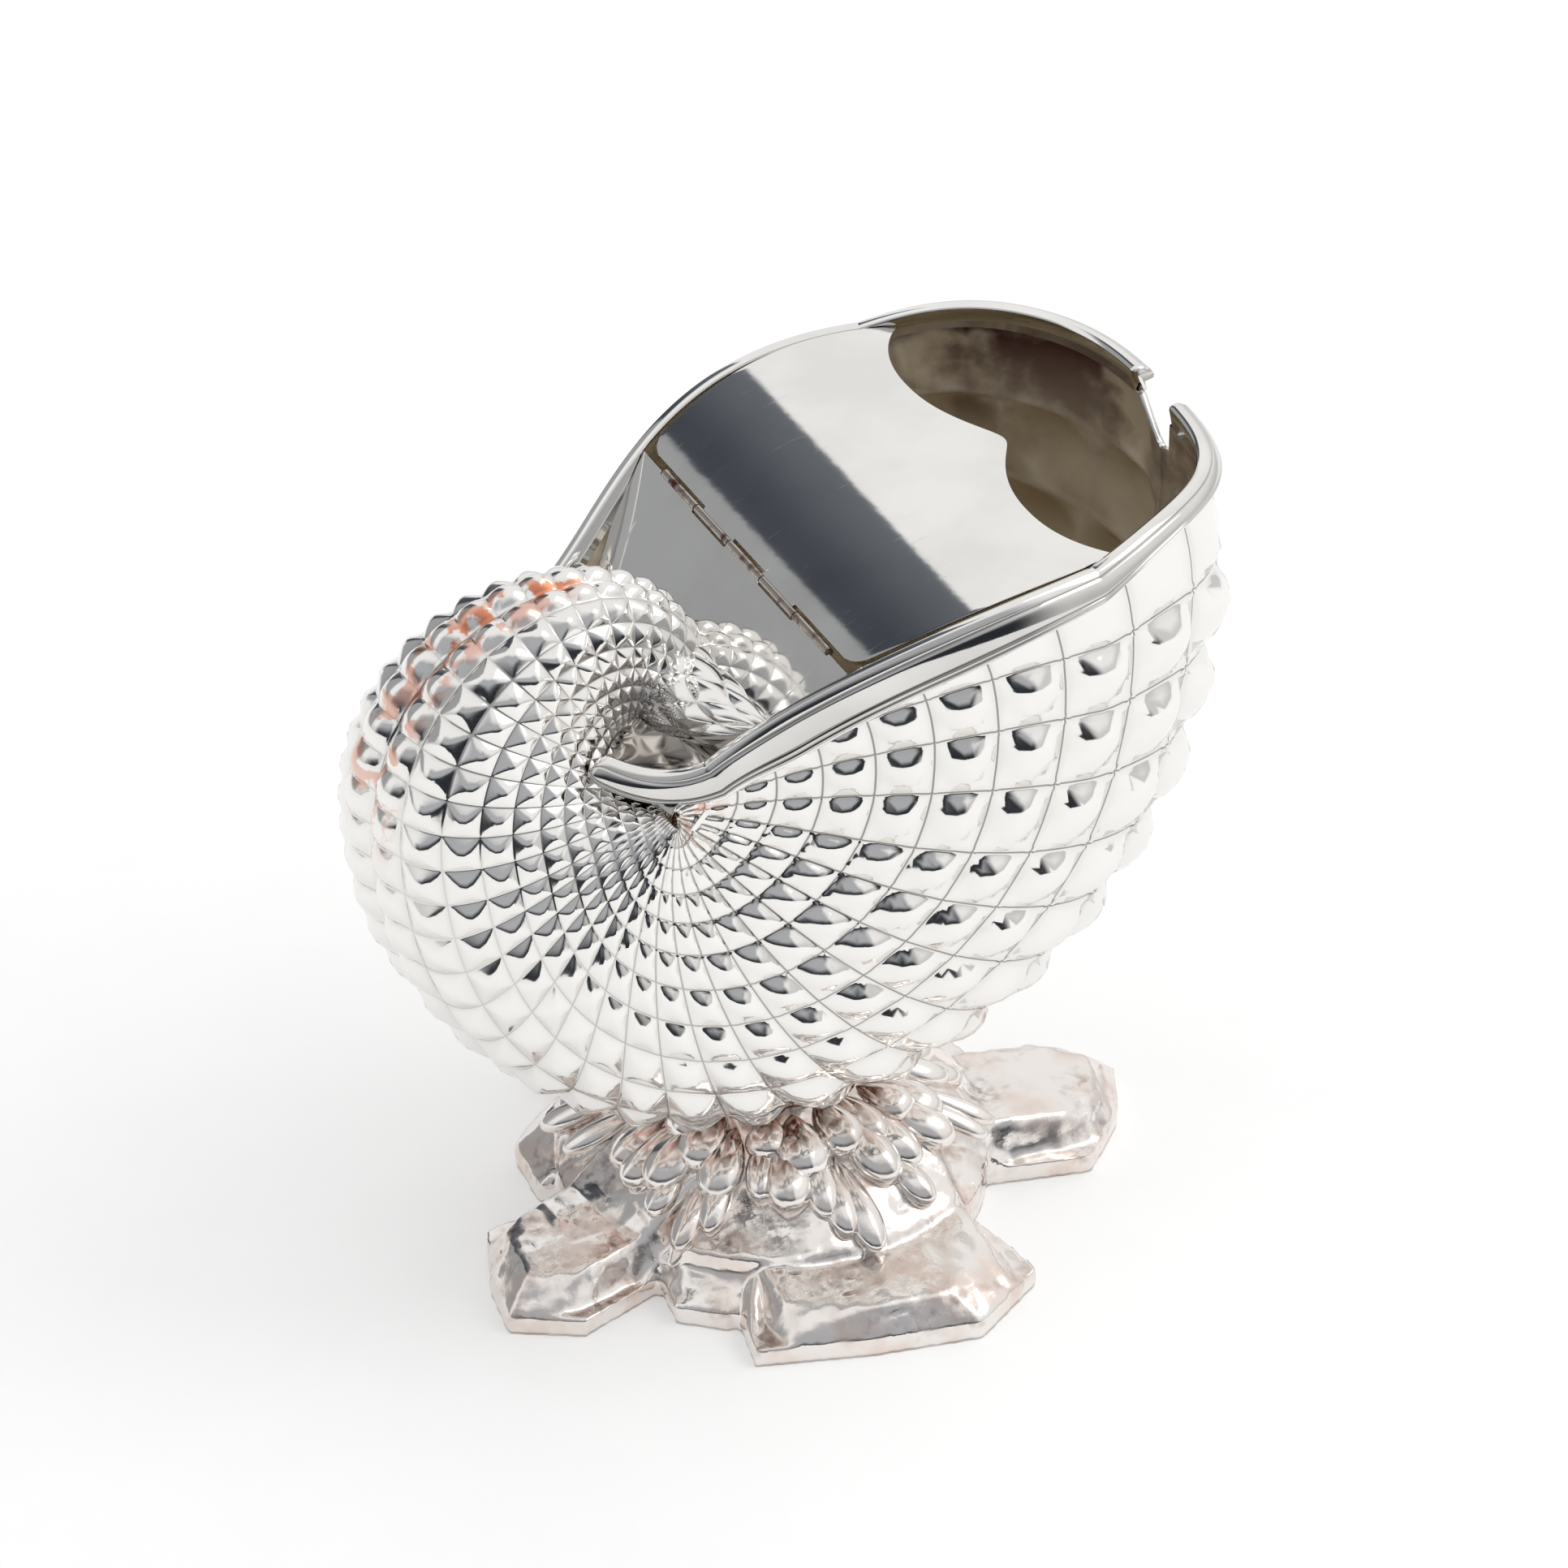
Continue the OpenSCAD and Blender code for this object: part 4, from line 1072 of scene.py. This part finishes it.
SPRAYS = (("seaweed_front", 276, 27), ("seaweed_front_left", 216, 26), ("seaweed_right", 336, 26),
          ("seaweed_back_right", 36, 25), ("seaweed_back", 96, 25), ("seaweed_back_left", 156, 25))
SPRAY_FAN = 19
MOUND_CURVE = 1.15
LEAF_TAPER, LEAF_RIDGE, RIDGE_NARROW, LEAF_FLAT = 0.42, 0.12, 4.0, 1.3
ROOT_BACK, ROOT_UP, TIP_UP = 0.6, 0.2, 0.45


def mound_height(r, rock):
    """Height of the mound at radius r."""
    out = np.maximum(r - rock.neck_r, 0) / (rock.mound_r - rock.neck_r)
    return rock.neck_z - (rock.neck_z - rock.mound_z) * out ** MOUND_CURVE


def spray_leaves(middle, fan, reach, rock):
    """Angle, root radius, tip radius and half width of each bladder of a spray, tier by tier."""
    leaf, bladder, neck = rock.leaf_r, rock.bead_r, rock.neck_r
    stray = np.random.default_rng(middle)
    leaves = [(middle + i * fan * 0.8, 12 * MM, reach - 3 * MM * abs(i), bladder) for i in (-1, 0, 1)]
    leaves += [(middle + i * fan, 6 * MM, 17 * MM, leaf * 0.9) for i in (-1.3, -0.45, 0.45, 1.3)]
    leaves += [(middle + i * fan * 1.05, 3 * MM, 9 * MM, leaf * 1.15) for i in (-1, 0, 1)]
    return [(a + stray.uniform(-7, 7), neck + root + stray.uniform(-1, 3) * MM,
             neck + tip + stray.uniform(-3, 2) * MM, w * stray.uniform(0.75, 1.2))
            for a, root, tip, w in leaves]


def bladder_tree(material):
    """Sets a tapered bladder with a ridge on each point of a spray."""
    tree, start, end = geometry_tree("seaweed_spray", "Taper", "Ridge")
    node = partial(add, tree)
    ball = node("GeometryNodeMeshUVSphere", links={"Segments": 20, "Rings": 18, "Radius": 1.0})
    axes = node("ShaderNodeSeparateXYZ", node("GeometryNodeInputPosition")).outputs
    along = node("ShaderNodeMath", axes[2], 0.5, 0.5, operation="MULTIPLY_ADD")
    neck = node("ShaderNodeMath", along, 0.0, operation="MAXIMUM")
    neck = node("ShaderNodeMath", neck, start["Taper"], operation="POWER")
    flank = node("ShaderNodeMath", axes[1], operation="ABSOLUTE")
    flank = node("ShaderNodeMath", flank, RIDGE_NARROW, operation="MULTIPLY", use_clamp=True)
    ridge = node("ShaderNodeMath", 1.0, flank, operation="SUBTRACT")
    ridge = node("ShaderNodeMath", ridge, start["Ridge"], operation="MULTIPLY")
    upper = node("ShaderNodeMath", axes[0], 0.0, operation="GREATER_THAN")
    ridge = node("ShaderNodeMath", ridge, upper, operation="MULTIPLY")
    x = node("ShaderNodeMath", axes[0], ridge, operation="ADD")
    x = node("ShaderNodeMath", x, neck, operation="MULTIPLY")
    y = node("ShaderNodeMath", axes[1], neck, operation="MULTIPLY")
    shaped = node("ShaderNodeCombineXYZ", x, y, along)
    leaf = node("GeometryNodeSetPosition", ball, links={"Position": shaped})
    # Hollow value for dirt and painted shade, rising towards the root of each bladder where the bladders
    # crowd together
    root = node("ShaderNodeMath", 1.0, along, operation="SUBTRACT")
    leaf = node("GeometryNodeStoreNamedAttribute", leaf, links={"Name": "hollow", "Value": root},
                data_type="FLOAT", domain="POINT")
    leaf = node("GeometryNodeSetShadeSmooth", leaf)
    turn, size = (node("GeometryNodeInputNamedAttribute", name, data_type="FLOAT_VECTOR")
                  for name in ("turn", "size"))
    rotation = node("FunctionNodeEulerToRotation", turn)
    dots = node("GeometryNodeMeshToPoints", start["Geometry"])
    leaves = node("GeometryNodeInstanceOnPoints", dots,
                  links={"Instance": leaf, "Rotation": rotation, "Scale": size})
    whole = node("GeometryNodeRealizeInstances", leaves)
    wire(end, {0: node("GeometryNodeSetMaterial", whole, links={"Material": material})})
    return tree


def leaf_place(a, root_r, tip_r, w, rock):
    """Root, turn and size of one bladder that lies on the mound."""
    radial = Vector((math.cos(math.radians(a)), math.sin(math.radians(a)), 0))
    root_z = float(mound_height(root_r, rock)) + ROOT_UP * w
    tip_z = float(mound_height(tip_r + w, rock)) + TIP_UP * w
    root = radial * (root_r - ROOT_BACK * w) + Vector((0, 0, root_z))
    tip = radial * (tip_r + w) + Vector((0, 0, tip_z))
    along = (tip - root).normalized()
    side = Vector((0, 0, 1)).cross(radial).normalized()
    basis = Matrix((along.cross(side), side, along)).transposed()
    return root, list(basis.to_euler()), (w, LEAF_FLAT * w, (tip - root).length)


class WARMER_OT_seaweed(bpy.types.Operator):
    """Fan the sprays of seaweed over the rock"""
    bl_idname = "warmer.seaweed"
    bl_label = "Seaweed"

    def execute(self, context):
        rock = context.scene.warmer_rock
        tree = bladder_tree(metal(seaweed_silver))
        for name, middle, reach in SPRAYS:
            leaves = [leaf_place(*leaf, rock) for leaf in spray_leaves(middle, SPRAY_FAN, reach * MM, rock)]
            places, turns, sizes = zip(*leaves)
            piece = mesh_piece(name + "_leaves", places, [], {"turn": turns, "size": sizes})
            apply_tree(piece, tree, taper=LEAF_TAPER, ridge=LEAF_RIDGE)
            settle(piece, SHELL_BODY, "cast_silver_plate", name)
        return {"FINISHED"}


class WARMER_OT_fixing(bpy.types.Operator):
    """Finish the stud, washer and nut under the rock"""
    bl_idname = "warmer.fixing"
    bl_label = "Fixing"

    def execute(self, context):
        finish_nodes(("fixing_stud", "fixing_washer", "fixing_nut"), metal(bare_brass))
        return {"FINISHED"}


# Materials: each function lays one metal and gives the inputs of its shader


def metal(lay):
    """Finds the metal that a function lays, or makes it."""
    name = METALS[lay]
    material = bpy.data.materials.get(name)
    if not material:
        material = bpy.data.materials.new(name)
        material.use_nodes = True
        node = partial(add, material.node_tree)
        place = node("ShaderNodeTexCoord").outputs["Object"]
        inputs = lay(node, place, bpy.context.scene.warmer_finish)
        wire(material.node_tree.nodes["Principled BSDF"], {"Metallic": 1.0, **inputs})
    return material


def patches(node, place, size, low, high, detail=3.0):
    """Soft patches of about the given size, 0 to 1 between two noise levels."""
    cloud = node("ShaderNodeTexNoise", links={"Vector": place, "Scale": 1 / size, "Detail": detail})
    return node("ShaderNodeMapRange", cloud, low, high, interpolation_type="SMOOTHSTEP")


def dents(node, place, size, detail, strength, depth):
    """Uneven surface with dents of about the given size and depth."""
    height = node("ShaderNodeTexNoise", links={"Vector": place, "Scale": 1 / size, "Detail": detail})
    return node("ShaderNodeBump", links={"Strength": strength, "Distance": depth, "Height": height})


def struck_silver(node, place, finish):
    """Silver plate struck and chased: mirror facets, grey in the lines, copper where it is rubbed through."""
    names = ("valley", "wear", "chased", "spoke", "row", "cell_wide", "cell_tall")
    read = {name: node("ShaderNodeAttribute", attribute_name=name).outputs["Fac"] for name in names}
    thin = patches(node, place, size=5 * MM, low=0.49, high=0.55, detail=8.0)
    rubbed = node("ShaderNodeMath", read["wear"], thin, operation="MULTIPLY")
    gaps = []
    for run, cell in (("spoke", "cell_wide"), ("row", "cell_tall")):
        gap = node("ShaderNodeMath", read[run], 0.5, operation="PINGPONG")
        gaps.append(node("ShaderNodeMath", gap, read[cell], operation="MULTIPLY"))
    gap = node("ShaderNodeMath", *gaps, operation="MINIMUM")
    line = node("ShaderNodeMapRange", gap, 0.08 * MM, 0.3 * MM, 0.8, 0.0, interpolation_type="SMOOTHSTEP")
    in_cell = node("ShaderNodeMath", read["cell_tall"], 0.0, operation="GREATER_THAN")
    depth = node("ShaderNodeMath", read["chased"], 0.65, 0.35, operation="MULTIPLY_ADD")
    depth = node("ShaderNodeMath", in_cell, depth, operation="MULTIPLY")
    line = node("ShaderNodeMath", line, depth, operation="MULTIPLY")
    grime = node("ShaderNodeMath", read["valley"], 0.12, operation="MULTIPLY")
    grime = node("ShaderNodeMath", grime, line, operation="MAXIMUM")
    plate = node("ShaderNodeMix", grime, links={6: finish.silver, 7: finish.tarnish}, data_type="RGBA")
    tint = node("ShaderNodeMix", rubbed, links={6: plate, 7: finish.copper}, data_type="RGBA")
    wipe = patches(node, place, size=6 * MM, low=0.3, high=0.7)
    polish = node("ShaderNodeMapRange", wipe, 0.0, 1.0, 0.06, 0.12)
    rough = node("ShaderNodeMath", rubbed, 0.25, polish, operation="MULTIPLY_ADD")
    planish = dents(node, place, size=2.5 * MM, detail=2.0, strength=0.25, depth=0.03 * MM)
    return {"Base Color": tint, "Roughness": rough, "Normal": planish}


def tarnished_lining(node, place, finish):
    """Unpolished plate inside the mouth: brown sulphide tarnish with dark stains and paler lines."""
    valley = node("ShaderNodeAttribute", attribute_name="valley").outputs["Fac"]
    rubbed = node("ShaderNodeMath", valley, 0.5, operation="MULTIPLY")
    skin = node("ShaderNodeMix", rubbed, links={6: finish.inside, 7: finish.inside_line}, data_type="RGBA")
    height = node("ShaderNodeSeparateXYZ", place).outputs[2]
    high = node("ShaderNodeMapRange", height, 115 * MM, 150 * MM)
    cloud = patches(node, place, size=16 * MM, low=0.4, high=0.62, detail=5.0)
    stain = node("ShaderNodeMath", cloud, high, operation="MULTIPLY")
    tint = node("ShaderNodeMix", stain, links={6: skin, 7: finish.inside_dark}, data_type="RGBA")
    rough = node("ShaderNodeMapRange", stain, 0.0, 1.0, 0.28, 0.42)
    return {"Base Color": tint, "Roughness": rough, "Metallic": 0.15}


def polished_silver(node, place, finish):
    """Silver plate rolled and hand polished: a clear mirror with fine wiping scratches and slight waves."""
    haze = patches(node, place, size=22 * MM, low=0.35, high=0.7)
    valley = node("ShaderNodeAttribute", attribute_name="valley").outputs["Fac"]
    grime = node("ShaderNodeMath", haze, 0.12, operation="MULTIPLY")
    # On the rim band the valley value also holds painted dark reflection, drawn here in the tarnish colour
    grime = node("ShaderNodeMath", valley, 0.75, grime, operation="MULTIPLY_ADD")
    tint = node("ShaderNodeMix", grime, links={6: finish.silver, 7: finish.tarnish}, data_type="RGBA")
    # Real wiping scratches are too fine to show, so they are drawn about 0.3 mm wide
    stretch = node("ShaderNodeMapping", place, links={"Rotation": (0.3, 0.2, 0.7), "Scale": (1.0, 30.0, 1.0)})
    scratch = patches(node, stretch, size=8 * MM, low=0.68, high=0.74, detail=2.0)
    rough = node("ShaderNodeMapRange", scratch, 0.0, 1.0, 0.06, 0.2)
    waves = dents(node, place, size=9 * MM, detail=3.0, strength=0.3, depth=0.08 * MM)
    return {"Base Color": tint, "Roughness": rough, "Normal": waves}


def stained(node, stain, clean, dirty, smooth, rough):
    """Two-tone metal that is rougher where it is stained."""
    tint = node("ShaderNodeMix", stain, links={6: clean, 7: dirty}, data_type="RGBA")
    return {"Base Color": tint, "Roughness": node("ShaderNodeMapRange", stain, 0.0, 1.0, smooth, rough)}


def hinge_silver(node, place, finish):
    """Plated knuckles that are never polished: dull grey-brown silver."""
    grime = patches(node, place, size=3 * MM, low=0.5, high=0.75)
    return stained(node, grime, finish.hinge, finish.inside_dark, smooth=0.3, rough=0.5)


def worn_copper(node, place, finish):
    """Collar: plate worn to brown copper under the shell."""
    worn = patches(node, place, size=5 * MM, low=0.38, high=0.62)
    return stained(node, worn, finish.cast_warm, finish.inside_dark, smooth=0.2, rough=0.4)


def bare_brass(node, place, finish):
    """Turned brass, dulled under the rock."""
    dull = patches(node, place, size=3 * MM, low=0.35, high=0.7)
    return stained(node, dull, finish.brass, finish.cast_dark, smooth=0.25, rough=0.45)


def casting(node, place, finish, roughest, blush, grain):
    """Plated casting: frosted silver, a pink blush where the plate is thin, dirt and painted shade in the
    hollows.
    """
    hollow = node("ShaderNodeAttribute", attribute_name="hollow").outputs["Fac"]
    thin = patches(node, place, size=10 * MM, low=0.4, high=0.72, detail=5.0)
    thin = node("ShaderNodeMath", thin, blush, operation="MULTIPLY")
    skin = node("ShaderNodeMix", thin, links={6: finish.cast, 7: finish.cast_warm}, data_type="RGBA")
    deep = node("ShaderNodeMapRange", hollow, 0.55, 1.0, 0.0, 0.8)
    speck = patches(node, place, size=2.2 * MM, low=0.4, high=0.75)
    # Dirt and painted shade: specks of the cast recess colour where the hollow value is high
    dirt = node("ShaderNodeMath", deep, speck, operation="MULTIPLY")
    tint = node("ShaderNodeMix", dirt, links={6: skin, 7: finish.cast_dark}, data_type="RGBA")
    frost = patches(node, place, size=5 * MM, low=0.35, high=0.7)
    rough = node("ShaderNodeMapRange", frost, 0.0, 1.0, 0.1, roughest)
    pits = dents(node, place, size=grain, detail=4.0, strength=0.5, depth=0.12 * MM)
    return {"Base Color": tint, "Roughness": rough, "Normal": pits}


def cast_silver(node, place, finish):
    """Rock: frosted plate on a rough casting."""
    return casting(node, place, finish, roughest=0.28, blush=0.42, grain=1.6 * MM)


def seaweed_silver(node, place, finish):
    """Seaweed: the same casting rubbed brighter."""
    return casting(node, place, finish, roughest=0.24, blush=0.3, grain=2.2 * MM)


METALS = {
    struck_silver: "chased_silver_plate", tarnished_lining: "tarnished_silver_lining",
    polished_silver: "hand_polished_silver_plate", hinge_silver: "dull_hinge_silver",
    cast_silver: "frosted_cast_silver", seaweed_silver: "rubbed_cast_silver",
    worn_copper: "worn_copper_collar", bare_brass: "bare_turned_brass",
}


# Stage

CAMERA_SIDE = Vector((-0.454, -0.891, 0.0))
ROOM_SIDES, ROOM_SOFT = (30, -22), 0.3
FLOOR_LIFT = 0.26
KEY_PLACE, KEY_AIM, KEY_SIDE, KEY_POWER = (0.75, -0.35, 1.1), (0, 0, 0.08), 0.7, 2.6
SENSOR_MM, CAMERA_REACH = 36, 20


def region(node, *limits):
    """Part of the tent within soft limits: 1 where each value is past its limit, from 0 outside."""
    inside = 1.0
    for value, outer, inner in limits:
        step = node("ShaderNodeMapRange", value, outer, inner, interpolation_type="SMOOTHSTEP")
        inside = node("ShaderNodeMath", inside, step, operation="MULTIPLY")
    return inside


def studio_world():
    """White tent with a dark strip above the backdrop and a dark opening round the camera."""
    world = bpy.data.worlds.new("studio_tent")
    world.use_nodes = True
    world.node_tree.nodes.clear()
    node = partial(add, world.node_tree)
    toward = node("ShaderNodeTexCoord").outputs["Generated"]
    x, y, z = node("ShaderNodeSeparateXYZ", toward).outputs
    sides = []
    for degrees in ROOM_SIDES:
        facing = Matrix.Rotation(-math.radians(degrees), 3, "Z") @ CAMERA_SIDE
        sides.append((node("ShaderNodeVectorMath", toward, facing, operation="DOT_PRODUCT"), 0.0, ROOM_SOFT))
    tent = node("ShaderNodeMix", region(node, (z, 0.0, 0.4)), data_type="RGBA",
                links={6: linear("#D6D6D6"), 7: linear("#F8F8F8")})
    wall = node("ShaderNodeMix", region(node, (x, -0.15, 0.1)), data_type="RGBA",
                links={6: linear("#464B53"), 7: linear("#666B72")})
    wall = node("ShaderNodeMix", region(node, (x, -0.205, -0.19)), data_type="RGBA",
                links={6: linear("#A2A4A6"), 7: wall})
    strip = region(node, (y, 0.35, 0.5), (z, 0.0, 0.05), (z, 0.9, 0.8), (x, 0.115, 0.1))
    tent = node("ShaderNodeMix", strip, data_type="RGBA",
                links={6: tent, 7: wall})
    dusk = node("ShaderNodeMix", region(node, (z, 0.02, 0.42)), data_type="RGBA",
                links={6: linear("#2E3136"), 7: linear("#B2B4B8")})
    tent = node("ShaderNodeMix", region(node, (z, -0.4, -0.2), (z, 0.95, 0.7), *sides), data_type="RGBA",
                links={6: tent, 7: dusk})
    glow = node("ShaderNodeBackground", links={"Color": tent, "Strength": 1.0})
    node("ShaderNodeOutputWorld", links={"Surface": glow})
    bpy.context.scene.world = world


def paper_floor():
    """Matt white paper that stays white to the camera and keeps the soft shadow."""
    material = bpy.data.materials.new("white_paper")
    material.use_nodes = True
    node = partial(add, material.node_tree)
    # Real paper fibre is too fine to show, so it is drawn about 3 mm across
    fibre = node("ShaderNodeTexNoise", links={"Scale": 1 / (3 * MM), "Detail": 2.0})
    paper = node("ShaderNodeMix", fibre, links={6: linear("#F4F4F3"), 7: linear("#F8F8F7")}, data_type="RGBA")
    rays = node("ShaderNodeLightPath").outputs
    seen = node("ShaderNodeMath", rays["Is Camera Ray"], rays["Is Glossy Ray"], operation="MAXIMUM")
    seen = node("ShaderNodeMath", seen, rays["Is Transmission Ray"], operation="MAXIMUM")
    lift = node("ShaderNodeMath", seen, FLOOR_LIFT, operation="MULTIPLY")
    wire(material.node_tree.nodes["Principled BSDF"], {
        "Base Color": paper, "Roughness": 0.9,
        "Emission Color": linear("#FFFFFF"), "Emission Strength": lift})
    return material


def place_facing(name, data, place, forward):
    """Puts a lamp or a camera at a place, looking forward."""
    item = bpy.data.objects.new(name, data)
    item.location = place
    item.rotation_euler = forward.to_track_quat("-Z", "Y").to_euler()
    bpy.context.scene.collection.objects.link(item)
    return item


class WARMER_OT_stage(bpy.types.Operator):
    """Set the floor, the light and the camera"""
    bl_idname = "warmer.stage"
    bl_label = "Stage"

    def execute(self, context):
        scene = context.scene
        stage = scene.warmer_stage
        scene.view_settings.view_transform = "Standard"
        studio_world()
        far, front = stage.floor, -stage.floor_front
        corners = [(-far, front, 0), (far, front, 0), (far, far, 0), (-far, far, 0)]
        floor = mesh_piece("floor", corners, [(0, 1, 2, 3)])
        floor.data.materials.append(paper_floor())
        key = bpy.data.lights.new("key_box", "AREA")
        key.size = KEY_SIDE
        key.energy = KEY_POWER
        place_facing("key_box", key, KEY_PLACE, Vector(KEY_AIM) - Vector(KEY_PLACE))
        level = math.cos(stage.tilt)
        back = Vector((math.sin(stage.turn) * level, -math.cos(stage.turn) * level, math.sin(stage.tilt)))
        lens = bpy.data.cameras.new("camera")
        lens.lens = stage.lens
        lens.sensor_width = SENSOR_MM
        lens.clip_end = CAMERA_REACH
        scene.camera = place_facing("camera", lens, Vector(stage.aim) + back * stage.distance, -back)
        return {"FINISHED"}


# Add-on


class WARMER_PT_panel(bpy.types.Panel):
    """Pieces of the spoon warmer"""
    bl_idname = "WARMER_PT_panel"
    bl_label = "Spoon Warmer"
    bl_space_type = "VIEW_3D"
    bl_region_type = "UI"
    bl_category = "Warmer"

    def draw(self, context):
        for name, _ in GROUPS:
            group = getattr(context.scene, name)
            box = self.layout.box()
            for key in group.bl_rna.properties.keys():
                if key not in ("name", "rna_type"):
                    box.prop(group, key)
        for piece in OPERATORS:
            self.layout.operator(piece.bl_idname)


GROUPS = (("warmer_shell", ShellSizes), ("warmer_rim", RimSizes), ("warmer_lid", LidSizes),
          ("warmer_whorl", WhorlSizes), ("warmer_rock", RockSizes), ("warmer_finish", Finishes),
          ("warmer_stage", StageSizes))
OPERATORS = (WARMER_OT_shell, WARMER_OT_rim, WARMER_OT_hollow, WARMER_OT_lid, WARMER_OT_saddle,
             WARMER_OT_hinge, WARMER_OT_whorl, WARMER_OT_collar, WARMER_OT_rock, WARMER_OT_seaweed,
             WARMER_OT_fixing, WARMER_OT_stage)


def register():
    """Registers the sizes, the operators and the panel."""
    for name, group in GROUPS:
        bpy.utils.register_class(group)
        setattr(bpy.types.Scene, name, bpy.props.PointerProperty(type=group))
    for piece in OPERATORS + (WARMER_PT_panel,):
        bpy.utils.register_class(piece)


def unregister():
    """Takes out what register put in."""
    for piece in (WARMER_PT_panel,) + OPERATORS[::-1]:
        bpy.utils.unregister_class(piece)
    for name, group in GROUPS[::-1]:
        delattr(bpy.types.Scene, name)
        bpy.utils.unregister_class(group)


def main():
    """Builds every piece and the stage."""
    register()
    for piece in OPERATORS:
        family, action = piece.bl_idname.split(".")
        getattr(getattr(bpy.ops, family), action)()


if __name__ == "__main__":
    main()
